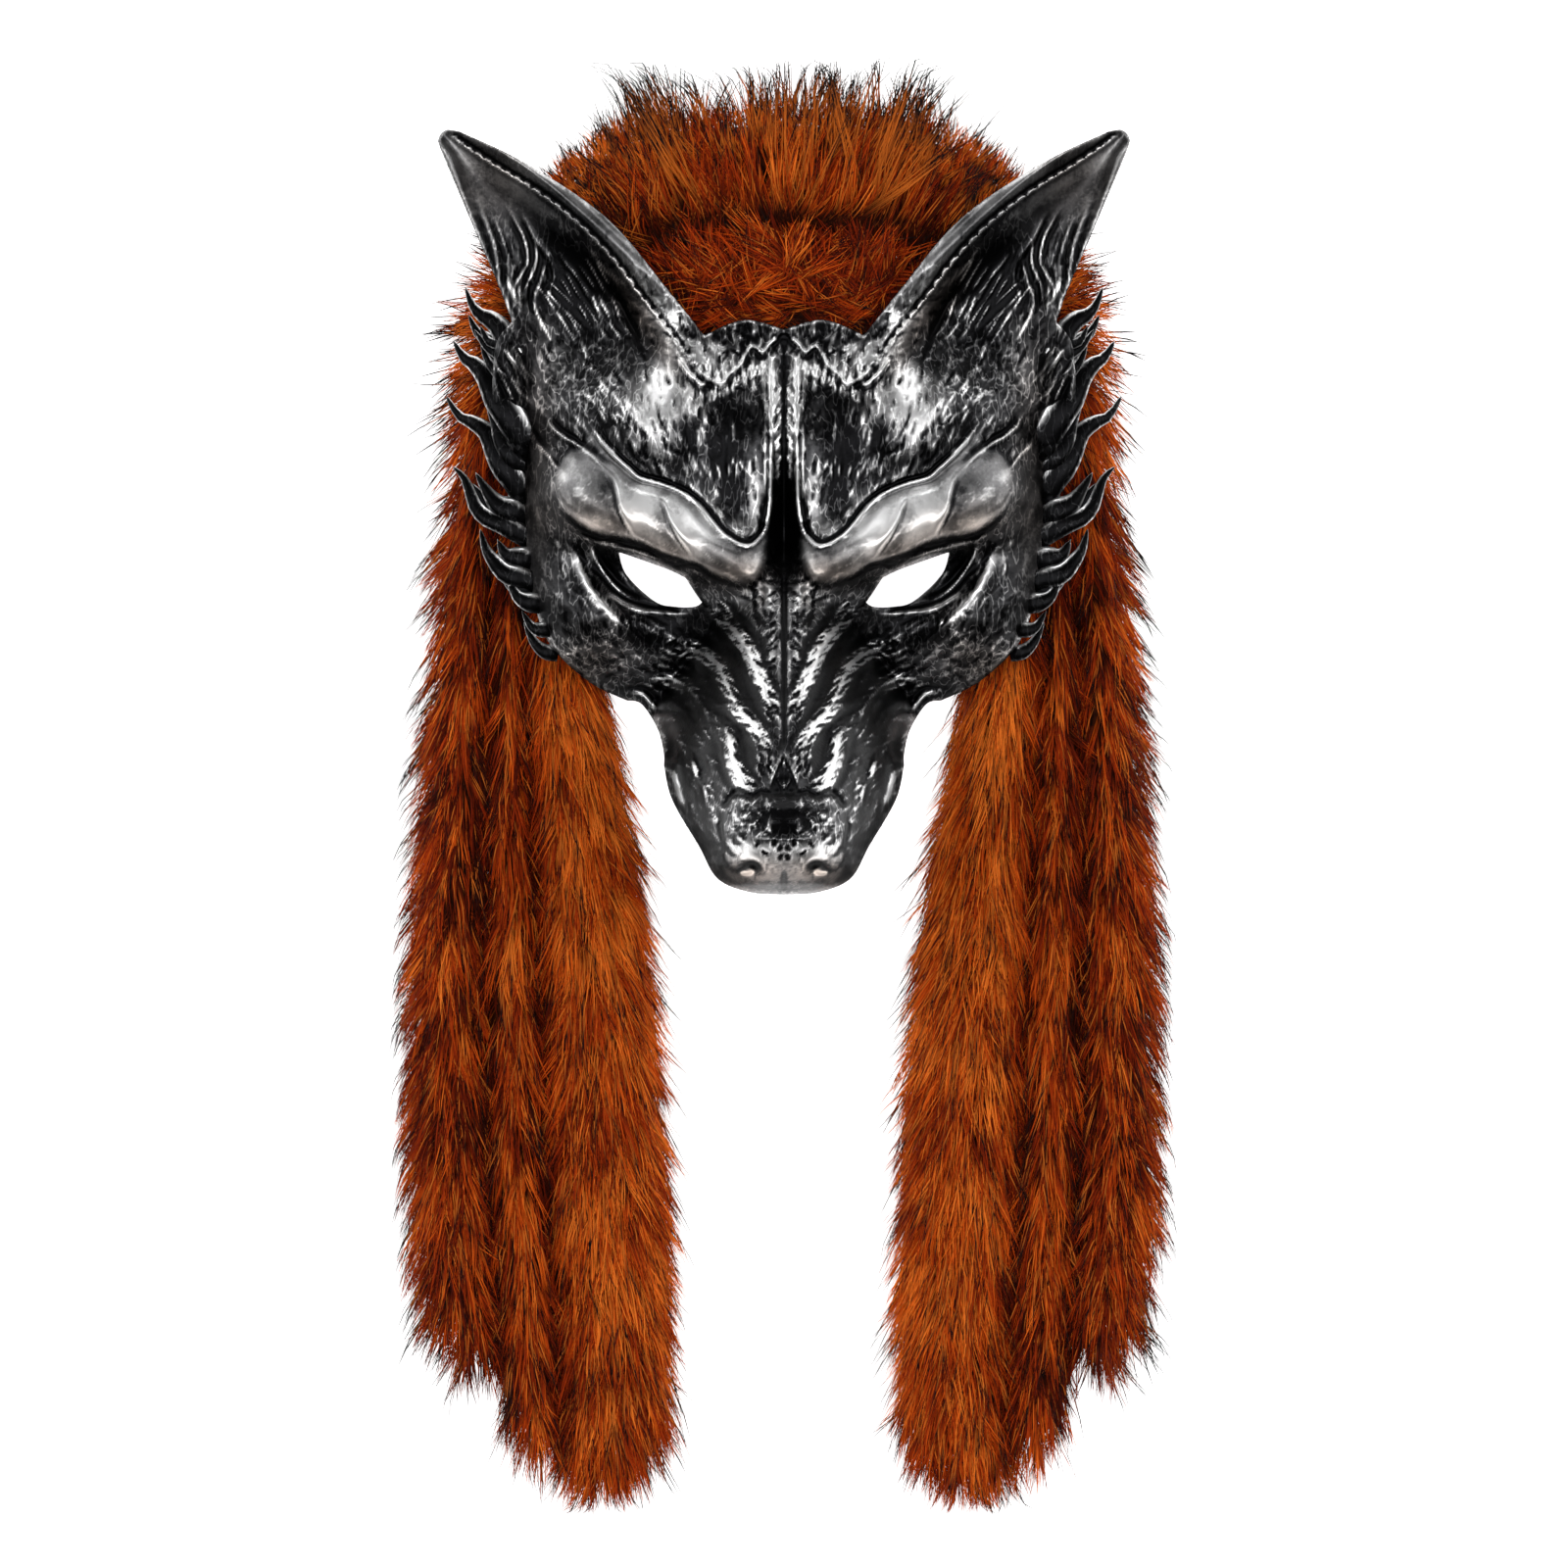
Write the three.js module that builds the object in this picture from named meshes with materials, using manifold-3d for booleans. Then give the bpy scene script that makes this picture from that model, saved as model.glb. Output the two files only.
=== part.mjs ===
// A moulded fox mask with a fur headdress, lying face up on a flat surface.
// Millimetres, +Z up. +Y runs from the muzzle to the ears, and +X is the mask's own left.
// The mask is one hollow moulding: brow, muzzle, ears and side locks in a single thin shell.
// The headdress is three long rolls of fur, side by side, that run over the crown and hang down both sides.
// Outlines below are measured from the eye line, which crosses both eye openings, and heights from the table.

import * as THREE from "three";
import { mergeVertices } from "three/addons/utils/BufferGeometryUtils.js";
import Module from "manifold-3d";

const wasm = await Module();
wasm.setup();

// Driving dimensions of the moulding
const WALL = 3; // thickness of the moulded shell
const STEEPEST_NORMAL = 0.3; // least upward share of a normal used to set the wall's vertical depth
const DOME = {
  rim: 24, // level that the dome falls to at the temples
  rise: 42, // how far the forehead stands over that level
  halfWidth: 97,
  // shares of its rise that the dome loses towards the forehead edge and towards the jaw
  browEdge: { from: 42, to: 92, loss: 0.42 },
  jawEdge: { from: -2, to: -42, loss: 0.75 },
};
const MUZZLE_BLEND = 7; // width of the rounded crease where the muzzle leaves the face
const MUZZLE_ROUNDNESS = 2.2;
const BROW = { rise: 10, spread: 9, nose: [2, 12], temple: [70, 84], level: 5, slope: 0.1, sweep: 0.0033 };
const EAR = {
  root: new THREE.Vector2(57, 80),
  tip: new THREE.Vector2(111, 148),
  medialWidth: 26, // from the ear's axis to its inner edge, at the root
  lateralWidth: 28, // from the ear's axis to its outer edge, at the root
  leastWidth: 2.5,
  scoop: [37, 40], // height of the hollow at the root and the tip
  medialRise: [19, 7], // how far the inner edge stands over the hollow, at the root and the tip
  lateralRise: [7, 4],
  fold: 5, // how far the inner edge turns back down
  blend: [-0.12, 0.16], // where along the ear the forehead gives way to it
  overrun: 1.15, // how far past its edge the ear's form is still followed
};
// Swellings and hollows of the face: centre, radii, tilt and height.
const FACE_FORMS = [
  { name: "cheek bone", x: 63, y: -16, along: 17, across: 13, tilt: 0, rise: 7 },
  { name: "eye socket", x: 44, y: 0, along: 25, across: 12, tilt: 0.5, rise: -15 },
  { name: "forehead swelling", x: 44, y: 55, along: 14, across: 18, tilt: 0, rise: 6 },
  { name: "forehead hollow", x: 26, y: 42, along: 10, across: 22, tilt: 0, rise: -4 },
];
// Hollows on the middle line, cut into the muzzle's ridge as well.
const MIDDLE_FORMS = [
  { name: "slot between the brows", x: 0, y: 19, along: 4.5, across: 18, tilt: 0, rise: -9 },
  { name: "step behind the nose pad", x: 0, y: -64, along: 7, across: 5, tilt: 0, rise: -4 },
];

const CUT_BOTTOM = -30; // the outline is cut from below the table to above the nose
const CUT_DEPTH = 220;
// Facet lines of the shell: closer together over the muzzle and the eyes than over the ears.
const FACET_HALF_COLUMNS = 16;
const FACET_HALF_WIDTH = 118;
const FACET_MIDDLE_SHARE = 0.76; // spacing at the middle over the mean spacing
const FACET_ROWS = [{ from: -104, to: 40, count: 28 }, { from: 40, to: 156, count: 14 }];

// Driving dimensions of the fur rolls
const FUR_GAP = 0.5; // clear space between neighbouring rolls
const BAND_SPLITS = [0, 0.455, 0.7, 1]; // where the band across is divided into inner, middle and outer roll
const FUR_STATIONS = 24; // cross-sections from the crown to each lower end
const STATION_CROWDING = 1.3; // above 1, the cross-sections crowd towards the crown, where the band bends
const END_TURNS = [0, 0.4, 0.8, 1.15, 1.42]; // angles at which an end's rounding is cut
const FUR_TOP = 160; // crown of the headdress over the eye line
const FUR_BOTTOM = -298; // lowest end of the longest rolls

// The origin is under the middle of the whole object.
const EYE_LINE_Y = -(FUR_TOP + FUR_BOTTOM) / 2;

const OUTLINE_DETAIL = 3; // straight edges between two named points of an outline
// Half outline of the moulding from the forehead to the lip, as smooth runs between corners.
const OUTLINE_RUNS = [
  // forehead edge between the ears
  [[0, 84], [13, 87], [26, 82]],
  // inner edge of the ear
  [[26, 82], [38.4, 97.6], [57.6, 120], [83.2, 137.6], [105.6, 148.5]],
  // rounded ear tip
  [[105.6, 148.5], [110.4, 149], [112.6, 145.6], [110.4, 139.2]],
  // outer edge of the ear
  [[110.4, 139.2], [100.2, 115.2], [92, 96], [88.6, 86.4]],
  // temple, where the side locks are rooted
  [[88.6, 86.4], [94, 78], [94.5, 56], [91, 34], [86, 18]],
  // cheek
  [[86, 18], [82.6, 0], [76.8, -17.6], [64, -30.4], [51.2, -36.8]],
  // notch behind the mouth
  [[51.2, -36.8], [46.4, -38], [41, -46.4], [39, -54], [38.9, -57.8]],
  // lip
  [[38.9, -57.8], [36.2, -69], [27.5, -83.8], [21.4, -94.4], [11.2, -98.7], [0, -99.5]],
];

// Right eye opening, corner to corner.
const EYE_RUNS = [
  [[53.8, 11.5], [38.4, 6], [32, 3]],
  [[32, 3], [28.8, -2], [26.6, -5]],
  [[26.6, -5], [29, -6.4], [35, -6.4], [42, -4.6], [51.2, 4], [53.8, 11.5]],
];

// Middle line of the moulding from the forehead edge to the lip: [distance over the eye line, height].
const MUZZLE_TOP = [
  [90, 30], [60, 34], [30, 46], [12, 62], [0, 74], [-20, 92], [-45, 116],
  [-62, 132], [-72, 142], [-82, 146], [-90, 141], [-96, 128], [-102, 108],
];
const MUZZLE_HALF_WIDTH = [
  [90, 14], [12, 16], [0, 24], [-20, 31], [-37, 38], [-58, 39.5], [-77, 33], [-90, 25], [-102, 20],
];
// Height of the muzzle at that half width.
const MUZZLE_EDGE = [[90, 20], [0, 34], [-20, 38], [-37, 46], [-56, 66], [-77, 92], [-90, 106], [-102, 100]];

// Side locks: root to tip, [across, up, rise over the surface at the root], and the half width at the root.
const LOCKS = [
  { path: [[82, 70, 0], [92, 82, 0], [99, 88, -2], [103.5, 97, -6]], width: 4.2 },
  { path: [[84, 64, 0], [94, 76, -1], [99, 83, -3], [103, 88, -6]], width: 3.6 },
  { path: [[83, 44, 0], [93, 60, 0], [100, 70, -3], [107.5, 78, -8]], width: 6.4 },
  { path: [[83, 36, 0], [94, 49, 0], [102, 54, -4], [109.6, 61, -9]], width: 4.6 },
  { path: [[80, 18, 0], [92, 24, 0], [101, 32, -3], [107, 38.6, -8]], width: 4.4 },
  { path: [[78, 3, 0], [87, 7, 0], [94, 10, -2], [98.6, 17, -6]], width: 4 },
  { path: [[77, -7, 0], [84, -3, 0], [89.5, 3, -3]], width: 3 },
];
const LOCK_RINGS = 5;
const LOCK_SIDES = 5;
const LOCK_FLATNESS = 0.62; // thickness of a lock over its width
const LOCK_TAPER = 0.88; // share of its width that a lock has lost at its tip

// Cross lines of the headdress, from the crown to the lower ends: [inner x, inner y, outer x, outer y].
const BAND_RIBS = [
  [0, 79, 0, FUR_TOP],
  [24, 72, 53, 152.5],
  [43, 50, 88, 122],
  [54, 25, 106.5, 84],
  [58, 0, 111.5, 45],
  [57, -22, 114.5, 6],
  [53, -46, 117.5, -30],
  [46.5, -82, 120.5, -76],
  [41, -124, 123, -121],
  [37.5, -170, 124, -168],
  [35.5, -216, 122, -214],
  [35, -258, 117, -256],
  [37, FUR_BOTTOM, 112, FUR_BOTTOM],
];
// Height of the rolls over the table, at each cross line: the face squeezes them at the temples.
const BAND_HEIGHTS = [42, 37, 30, 25, 23, 22, 23, 24, 24, 24, 24, 23, 22];
const ROLL_HEIGHT_SHARE = [1, 0.94, 0.86]; // inner, middle and outer roll
const ROLL_ENDS = [FUR_BOTTOM, FUR_BOTTOM + 3, -266];
const ROLL_NAMES = ["fur_roll_inner", "fur_roll_middle", "fur_roll_outer"];
// Section of a roll lying on the table: [share of the half width, share of the height].
const ROLL_SECTION = [
  [-0.78, 0], [0.78, 0], [1, 0.3], [0.93, 0.7], [0.55, 0.94], [0, 1], [-0.55, 0.94], [-0.93, 0.7], [-1, 0.3],
];

function clamp01(t) {
  return Math.min(1, Math.max(0, t));
}

function smoothstep(low, high, value) {
  const t = clamp01((value - low) / (high - low));
  return t * t * (3 - 2 * t);
}

// The larger of two heights, with their crease rounded over a blend width.
function smoothMax(a, b, blend) {
  const h = clamp01(0.5 + (0.5 * (a - b)) / blend);
  return b + (a - b) * h + blend * h * (1 - h);
}

// Value at a place along the middle line, from stations in falling order.
function alongLine(stations, y) {
  if (y >= stations[0][0]) return stations[0][1];
  for (let i = 1; i < stations.length; i++) {
    const [y1, v1] = stations[i];
    const [y0, v0] = stations[i - 1];
    if (y >= y1) return v0 + (v1 - v0) * ((y0 - y) / (y0 - y1));
  }
  return stations[stations.length - 1][1];
}

function mix([from, to], share) {
  return from + (to - from) * share;
}

// Height that a swelling or hollow adds: all of its rise at its centre, fading out around an ellipse.
function formHeight(form, x, y) {
  const dx = x - form.x;
  const dy = y - form.y;
  const along = dx * Math.cos(form.tilt) + dy * Math.sin(form.tilt);
  const across = dy * Math.cos(form.tilt) - dx * Math.sin(form.tilt);
  return form.rise * Math.exp(-((along / form.along) ** 2) - (across / form.across) ** 2);
}

function allForms(forms, x, y) {
  return forms.reduce((sum, form) => sum + formHeight(form, x, y), 0);
}

// Forehead and cheeks: a broad dome that falls to the rim at the temples.
function domeHeight(side, y) {
  const round = (1 - Math.min(1, side / DOME.halfWidth) ** 2.6) ** 0.75;
  const { browEdge, jawEdge } = DOME;
  const upper = 1 - browEdge.loss * smoothstep(browEdge.from, browEdge.to, y);
  const lower = 1 - jawEdge.loss * smoothstep(jawEdge.from, jawEdge.to, y);
  return DOME.rim + DOME.rise * round * upper * lower;
}

// The muzzle: a rounded ridge from between the eyes to the nose.
function muzzleHeight(side, y) {
  const top = alongLine(MUZZLE_TOP, y);
  const edge = alongLine(MUZZLE_EDGE, y);
  return top - (top - edge) * (side / alongLine(MUZZLE_HALF_WIDTH, y)) ** MUZZLE_ROUNDNESS;
}

// The heavy brow over each eye, from the temple down to the root of the nose.
function browHeight(side, y) {
  const middle = BROW.level + BROW.slope * side + BROW.sweep * side * side;
  const along = smoothstep(...BROW.nose, side) * (1 - smoothstep(...BROW.temple, side));
  return BROW.rise * along * Math.exp(-(((y - middle) / BROW.spread) ** 2));
}

// The ear: a scoop with a raised inner edge. Returns its height and how much of it applies at this place.
function earForm(side, y) {
  const axis = EAR.tip.clone().sub(EAR.root);
  const length = axis.length();
  axis.divideScalar(length);
  const dx = side - EAR.root.x;
  const dy = y - EAR.root.y;
  const up = (dx * axis.x + dy * axis.y) / length;
  const across = dy * axis.x - dx * axis.y;
  const share = smoothstep(...EAR.blend, up);
  const along = clamp01(up);
  const width = across > 0 ? EAR.medialWidth * Math.sqrt(1 - along ** 1.4) : EAR.lateralWidth * (1 - along);
  const outward = Math.min(EAR.overrun, Math.abs(across) / Math.max(EAR.leastWidth, width));
  const rise = mix(across > 0 ? EAR.medialRise : EAR.lateralRise, along);
  const fold = across > 0 ? EAR.fold * smoothstep(0.86, 1.05, outward) : 0;
  return { height: mix(EAR.scoop, along) + rise * outward ** 2 - fold, share };
}

// Height of the mask's front over the table. Both halves are alike.
function frontHeight(x, y) {
  const side = Math.abs(x);
  const face = domeHeight(side, y) + browHeight(side, y) + allForms(FACE_FORMS, side, y);
  const ridged = smoothMax(face, muzzleHeight(side, y), MUZZLE_BLEND) + allForms(MIDDLE_FORMS, side, y);
  const ear = earForm(side, y);
  return ridged + (ear.height - ridged) * ear.share;
}

function backHeight(x, y) {
  const step = 1;
  const slopeX = (frontHeight(x + step, y) - frontHeight(x - step, y)) / (2 * step);
  const slopeY = (frontHeight(x, y + step) - frontHeight(x, y - step)) / (2 * step);
  const upward = 1 / Math.hypot(1, slopeX, slopeY);
  return frontHeight(x, y) - WALL / Math.max(STEEPEST_NORMAL, upward);
}

function toSolid(geometry) {
  const plain = geometry.clone();
  for (const name of ["normal", "uv"]) plain.deleteAttribute(name);
  const merged = mergeVertices(plain, 1e-4);
  return new wasm.Manifold(
    new wasm.Mesh({
      numProp: 3,
      vertProperties: merged.getAttribute("position").array,
      triVerts: new Uint32Array(merged.index.array),
    }),
  );
}

function toGeometry(solid) {
  const made = solid.getMesh();
  const position = new THREE.Float32BufferAttribute(made.vertProperties, 3);
  const geometry = new THREE.BufferGeometry().setAttribute("position", position);
  geometry.setIndex(new THREE.BufferAttribute(made.triVerts, 1));
  geometry.computeVertexNormals();
  return geometry;
}

// A closed mesh from rings of points, each ring with the same count, and a fan over each end.
function loft(rings) {
  const sides = rings[0].length;
  const points = rings.flat();
  const first = points.length;
  for (const ring of [rings[0], rings[rings.length - 1]]) {
    const middle = new THREE.Vector3();
    for (const point of ring) middle.addScaledVector(point, 1 / sides);
    points.push(middle);
  }
  const index = [];
  for (let ring = 0; ring < rings.length - 1; ring++) {
    for (let side = 0; side < sides; side++) {
      const a = ring * sides + side;
      const b = ring * sides + ((side + 1) % sides);
      index.push(a, b, a + sides, b, b + sides, a + sides);
    }
  }
  const last = (rings.length - 1) * sides;
  for (let side = 0; side < sides; side++) {
    const next = (side + 1) % sides;
    index.push(first, next, side, first + 1, last + side, last + next);
  }
  const geometry = new THREE.BufferGeometry().setFromPoints(points);
  geometry.setIndex(index);
  return geometry;
}

function facetColumns() {
  const columns = [];
  for (let i = -FACET_HALF_COLUMNS; i <= FACET_HALF_COLUMNS; i++) {
    const share = i / FACET_HALF_COLUMNS;
    const warped = FACET_MIDDLE_SHARE * share + (1 - FACET_MIDDLE_SHARE) * share ** 3;
    columns.push(FACET_HALF_WIDTH * warped);
  }
  return columns;
}

function facetRows() {
  const rows = [FACET_ROWS[0].from];
  for (const { from, to, count } of FACET_ROWS) {
    for (let i = 1; i <= count; i++) rows.push(from + ((to - from) * i) / count);
  }
  return rows;
}

// A slab between the front and the back surface over a rectangle, to be cut to the outline.
function maskSlab() {
  const columns = facetColumns();
  const rows = facetRows();
  const points = [];
  for (const height of [frontHeight, backHeight]) {
    for (const y of rows) {
      for (const x of columns) points.push(new THREE.Vector3(x, y, height(x, y)));
    }
  }
  const across = columns.length;
  const back = across * rows.length;
  const [lastColumn, lastRow] = [across - 1, rows.length - 1];
  const index = [];
  for (let row = 0; row < lastRow; row++) {
    for (let column = 0; column < lastColumn; column++) {
      const a = row * across + column;
      const [b, c, d] = [a + 1, a + across, a + across + 1];
      // the diagonals mirror about the middle, so both halves get the same facets
      const halves = column < FACET_HALF_COLUMNS ? [[a, b, d], [a, d, c]] : [[a, b, c], [b, d, c]];
      for (const [p, q, r] of halves) index.push(p, q, r, back + p, back + r, back + q);
    }
  }
  const wall = (p, q) => index.push(p, back + p, back + q, p, back + q, q);
  for (let column = 0; column < lastColumn; column++) {
    wall(column, column + 1);
    wall(lastRow * across + column + 1, lastRow * across + column);
  }
  for (let row = 0; row < lastRow; row++) {
    wall((row + 1) * across, row * across);
    wall(row * across + lastColumn, (row + 1) * across + lastColumn);
  }
  const geometry = new THREE.BufferGeometry().setFromPoints(points);
  geometry.setIndex(index);
  return geometry;
}

// Points along smooth runs, each run starting where the last one ended.
function followRuns(runs, perPoint) {
  const points = [];
  for (const run of runs) {
    const curve = new THREE.SplineCurve(run.map(([x, y]) => new THREE.Vector2(x, y)));
    const steps = perPoint * (run.length - 1);
    for (let i = 0; i < steps; i++) points.push(curve.getPoint(i / steps));
  }
  const [lastX, lastY] = runs[runs.length - 1].slice(-1)[0];
  points.push(new THREE.Vector2(lastX, lastY));
  return points;
}

// The outline and the two eye openings, extruded through the slab.
function outlinePrism() {
  const half = followRuns(OUTLINE_RUNS, OUTLINE_DETAIL);
  const other = half.slice(1, -1).reverse().map((p) => new THREE.Vector2(-p.x, p.y));
  const shape = new THREE.Shape([...half, ...other]);
  const eye = followRuns(EYE_RUNS, OUTLINE_DETAIL).slice(0, -1);
  shape.holes.push(new THREE.Path(eye));
  // a mirrored opening runs the other way round, so it is turned back
  shape.holes.push(new THREE.Path(eye.map((p) => new THREE.Vector2(-p.x, p.y)).reverse()));
  const cut = new THREE.ExtrudeGeometry(shape, { depth: CUT_DEPTH, bevelEnabled: false });
  return cut.translate(0, 0, CUT_BOTTOM);
}

// One pointed side lock, oval across and tapering to its tip.
function lockGeometry({ path, width }, side) {
  const [rootX, rootY] = path[0];
  const root = frontHeight(rootX, rootY) - WALL / 2;
  const spine = path.map(([x, y, rise]) => new THREE.Vector3(x * side, y, root + rise));
  const curve = new THREE.CatmullRomCurve3(spine);
  const up = new THREE.Vector3(0, 0, 1);
  const rings = [];
  for (let ring = 0; ring <= LOCK_RINGS; ring++) {
    const share = ring / LOCK_RINGS;
    const centre = curve.getPoint(share);
    const along = curve.getTangent(share);
    const across = new THREE.Vector3().crossVectors(up, along).normalize();
    const over = new THREE.Vector3().crossVectors(along, across).normalize();
    const half = width * (1 - LOCK_TAPER * share ** 1.3);
    const points = [];
    for (let i = 0; i < LOCK_SIDES; i++) {
      const angle = (2 * Math.PI * i) / LOCK_SIDES;
      const point = centre.clone().addScaledVector(across, half * Math.cos(angle));
      points.push(point.addScaledVector(over, LOCK_FLATNESS * half * Math.sin(angle)));
    }
    rings.push(points);
  }
  return loft(rings);
}

function maskShell() {
  let shell = toSolid(maskSlab()).intersect(toSolid(outlinePrism()));
  for (const lock of LOCKS) {
    for (const side of [1, -1]) {
      shell = shell.add(toSolid(lockGeometry(lock, side)));
    }
  }
  return toGeometry(shell);
}

// The smooth inner and outer edges of the headdress, as curves from the crown to the lower ends.
const innerEdge = new THREE.SplineCurve(BAND_RIBS.map(([x, y]) => new THREE.Vector2(x, y)));
const outerEdge = new THREE.SplineCurve(BAND_RIBS.map(([, , x, y]) => new THREE.Vector2(x, y)));

function bandPoint(along, across) {
  const inner = innerEdge.getPoint(along);
  return inner.lerp(outerEdge.getPoint(along), across);
}

function bandHeight(along) {
  const place = clamp01(along) * (BAND_HEIGHTS.length - 1);
  const low = Math.min(Math.floor(place), BAND_HEIGHTS.length - 2);
  return BAND_HEIGHTS[low] + (BAND_HEIGHTS[low + 1] - BAND_HEIGHTS[low]) * (place - low);
}

// Share of the way down the band at which its inner edge reaches a level.
function alongAtLevel(y) {
  let [low, high] = [0.5, 1];
  for (let i = 0; i < 30; i++) {
    const middle = (low + high) / 2;
    if (innerEdge.getPoint(middle).y > y) low = middle;
    else high = middle;
  }
  return high;
}

// Places of a roll's cross-sections along the band: shared by all rolls, until the end rounds off.
function rollStations(roll) {
  const end = alongAtLevel(ROLL_ENDS[roll]);
  const [from, to] = [BAND_SPLITS[roll], BAND_SPLITS[roll + 1]];
  const rounding = 0.5 * (to - from) * bandPoint(end, 0).distanceTo(bandPoint(end, 1));
  const pace = bandPoint(end, 0).distanceTo(bandPoint(end - 0.01, 0)) / 0.01;
  const start = end - rounding / pace;
  const stations = [];
  for (let i = 0; (i / FUR_STATIONS) ** STATION_CROWDING < start; i++) {
    stations.push({ along: (i / FUR_STATIONS) ** STATION_CROWDING, closing: 1 });
  }
  for (const turn of END_TURNS) {
    stations.push({ along: start + (end - start) * Math.sin(turn), closing: Math.cos(turn) });
  }
  return stations;
}

// One fur roll, from its lower end on one side, over the crown, to its lower end on the other side.
function furRoll(roll) {
  const [from, to] = [BAND_SPLITS[roll], BAND_SPLITS[roll + 1]];
  const section = ({ along, closing }, side) => {
    const inner = bandPoint(along, from);
    const outer = bandPoint(along, to);
    const width = inner.distanceTo(outer);
    const height = bandHeight(along) * ROLL_HEIGHT_SHARE[roll] * (0.4 + 0.6 * closing);
    const half = (width / 2 - FUR_GAP / 2) * closing;
    const centre = inner.clone().lerp(outer, 0.5);
    const across = outer.clone().sub(inner).divideScalar(width);
    return ROLL_SECTION.map(([out, up]) => {
      const point = centre.clone().addScaledVector(across, out * half);
      return new THREE.Vector3(side * point.x, point.y, up * height);
    });
  };
  const stations = rollStations(roll);
  const left = stations.slice(1).reverse().map((station) => section(station, -1));
  const right = stations.map((station) => section(station, 1));
  return loft([...left, ...right]);
}

const silver = new THREE.MeshStandardMaterial({ color: 0x4a4a4b, roughness: 0.35, metalness: 0.85 });
const fur = [0xb4501a, 0x9c3f14, 0x8a3410].map(
  (color) => new THREE.MeshStandardMaterial({ color, roughness: 0.9, metalness: 0 }),
);

function named(name, geometry, material) {
  const mesh = new THREE.Mesh(geometry, material);
  mesh.name = name;
  return mesh;
}

const mask = new THREE.Group();
mask.position.set(0, EYE_LINE_Y, 0);
mask.add(named("mask_shell", maskShell(), silver));
ROLL_NAMES.forEach((name, roll) => mask.add(named(name, furRoll(roll), fur[roll])));

const root = new THREE.Group();
root.add(mask);

export default root;
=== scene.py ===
"""A moulded fox mask with a fur headdress, lying face up on a pale floor.

The mask is one thin moulding in antique silver: brow, muzzle, ears and side locks. The headdress is three
long rolls of orange-brown fur, side by side, that pass over the crown and hang down both sides. Sizes inside
the classes are in millimetres, measured across from the middle line and up from the eye line, with heights
over the floor. Both halves of the mask are alike, so one half is worked out and mirrored.
"""

import logging
import math
from dataclasses import dataclass, field
from enum import Enum
from typing import Iterable, Sequence

import bpy
import numpy as np
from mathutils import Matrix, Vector


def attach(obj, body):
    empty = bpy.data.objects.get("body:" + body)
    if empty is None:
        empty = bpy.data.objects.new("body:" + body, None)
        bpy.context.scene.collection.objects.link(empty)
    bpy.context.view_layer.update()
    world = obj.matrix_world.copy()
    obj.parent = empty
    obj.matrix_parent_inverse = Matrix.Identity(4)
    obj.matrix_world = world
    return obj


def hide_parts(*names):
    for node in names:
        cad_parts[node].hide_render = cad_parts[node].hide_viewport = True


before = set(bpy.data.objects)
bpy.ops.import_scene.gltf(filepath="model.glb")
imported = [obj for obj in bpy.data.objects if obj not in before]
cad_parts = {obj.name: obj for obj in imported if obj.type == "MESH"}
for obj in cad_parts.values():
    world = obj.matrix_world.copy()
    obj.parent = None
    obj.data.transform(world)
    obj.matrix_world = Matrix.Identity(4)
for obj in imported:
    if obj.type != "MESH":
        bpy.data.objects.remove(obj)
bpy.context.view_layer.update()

Point = tuple[float, float]
Triple = tuple[float, float, float]
Path = Sequence[Point]
Face = tuple[int, ...]
Array = np.ndarray
Rng = np.random.Generator
Socket = bpy.types.NodeSocket
Input = Socket | float | Triple

MM = 0.001
EYE_LINE_Y = 69.0  # the eye line's place along the frame's Y
BODY = "root"
LOG = logging.getLogger("fox_mask")


# Small sums that every part uses


def smoothstep(low: float, high: float, value: Array) -> Array:
    """Ease from 0 at low to 1 at high."""
    share = np.clip((value - low) / (high - low), 0.0, 1.0)
    return share * share * (3.0 - 2.0 * share)


def smooth_max(a: Array, b: Array, blend: float) -> Array:
    """The larger of two heights, with their crease rounded over a blend width."""
    share = np.clip(0.5 + 0.5 * (a - b) / blend, 0.0, 1.0)
    return b + (a - b) * share + blend * share * (1.0 - share)


def along_line(stations: Path, place: Array) -> Array:
    """Value at places along the middle line, from stations in falling order."""
    places, values = zip(*reversed(list(stations)))
    return np.interp(place, places, values)


def spline(points: Sequence[Sequence[float]], steps: int) -> Array:
    """A smooth curve through points, with the given number of steps between each two.

    Args:
        points: Points of any dimension, in order.
        steps: Straight steps from one point to the next.

    Returns:
        One row for each place along the curve, both ends included.
    """
    knots = np.asarray(points, float)
    last = len(knots) - 1
    places = np.arange(last * steps + 1) / steps
    return spline_at(knots, places)


def spline_at(knots: Array, places: Array) -> Array:
    """Read a uniform spline at places.

    Args:
        knots: The points that it runs through.
        places: Places, counted in knots from its start.

    Returns:
        One row for each place.
    """
    last = len(knots) - 1
    low = np.clip(np.floor(places).astype(int), 0, last - 1)
    t = (places - low)[:, None]
    before = knots[np.maximum(low - 1, 0)]
    here = knots[low]
    there = knots[low + 1]
    after = knots[np.minimum(low + 2, last)]
    leave = (there - before) / 2
    arrive = (after - here) / 2
    cube = 2 * here - 2 * there + leave + arrive
    square = -3 * here + 3 * there - 2 * leave - arrive
    return cube * t**3 + square * t**2 + leave * t + here


def bell(value: Array) -> Array:
    """1 where the value is 0, falling off evenly to both sides."""
    return np.exp(-(value**2))


def unit(vectors: Array) -> Array:
    """Vectors cut to a length of one."""
    return vectors / np.maximum(np.linalg.norm(vectors, axis=-1, keepdims=True), 1e-9)


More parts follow.
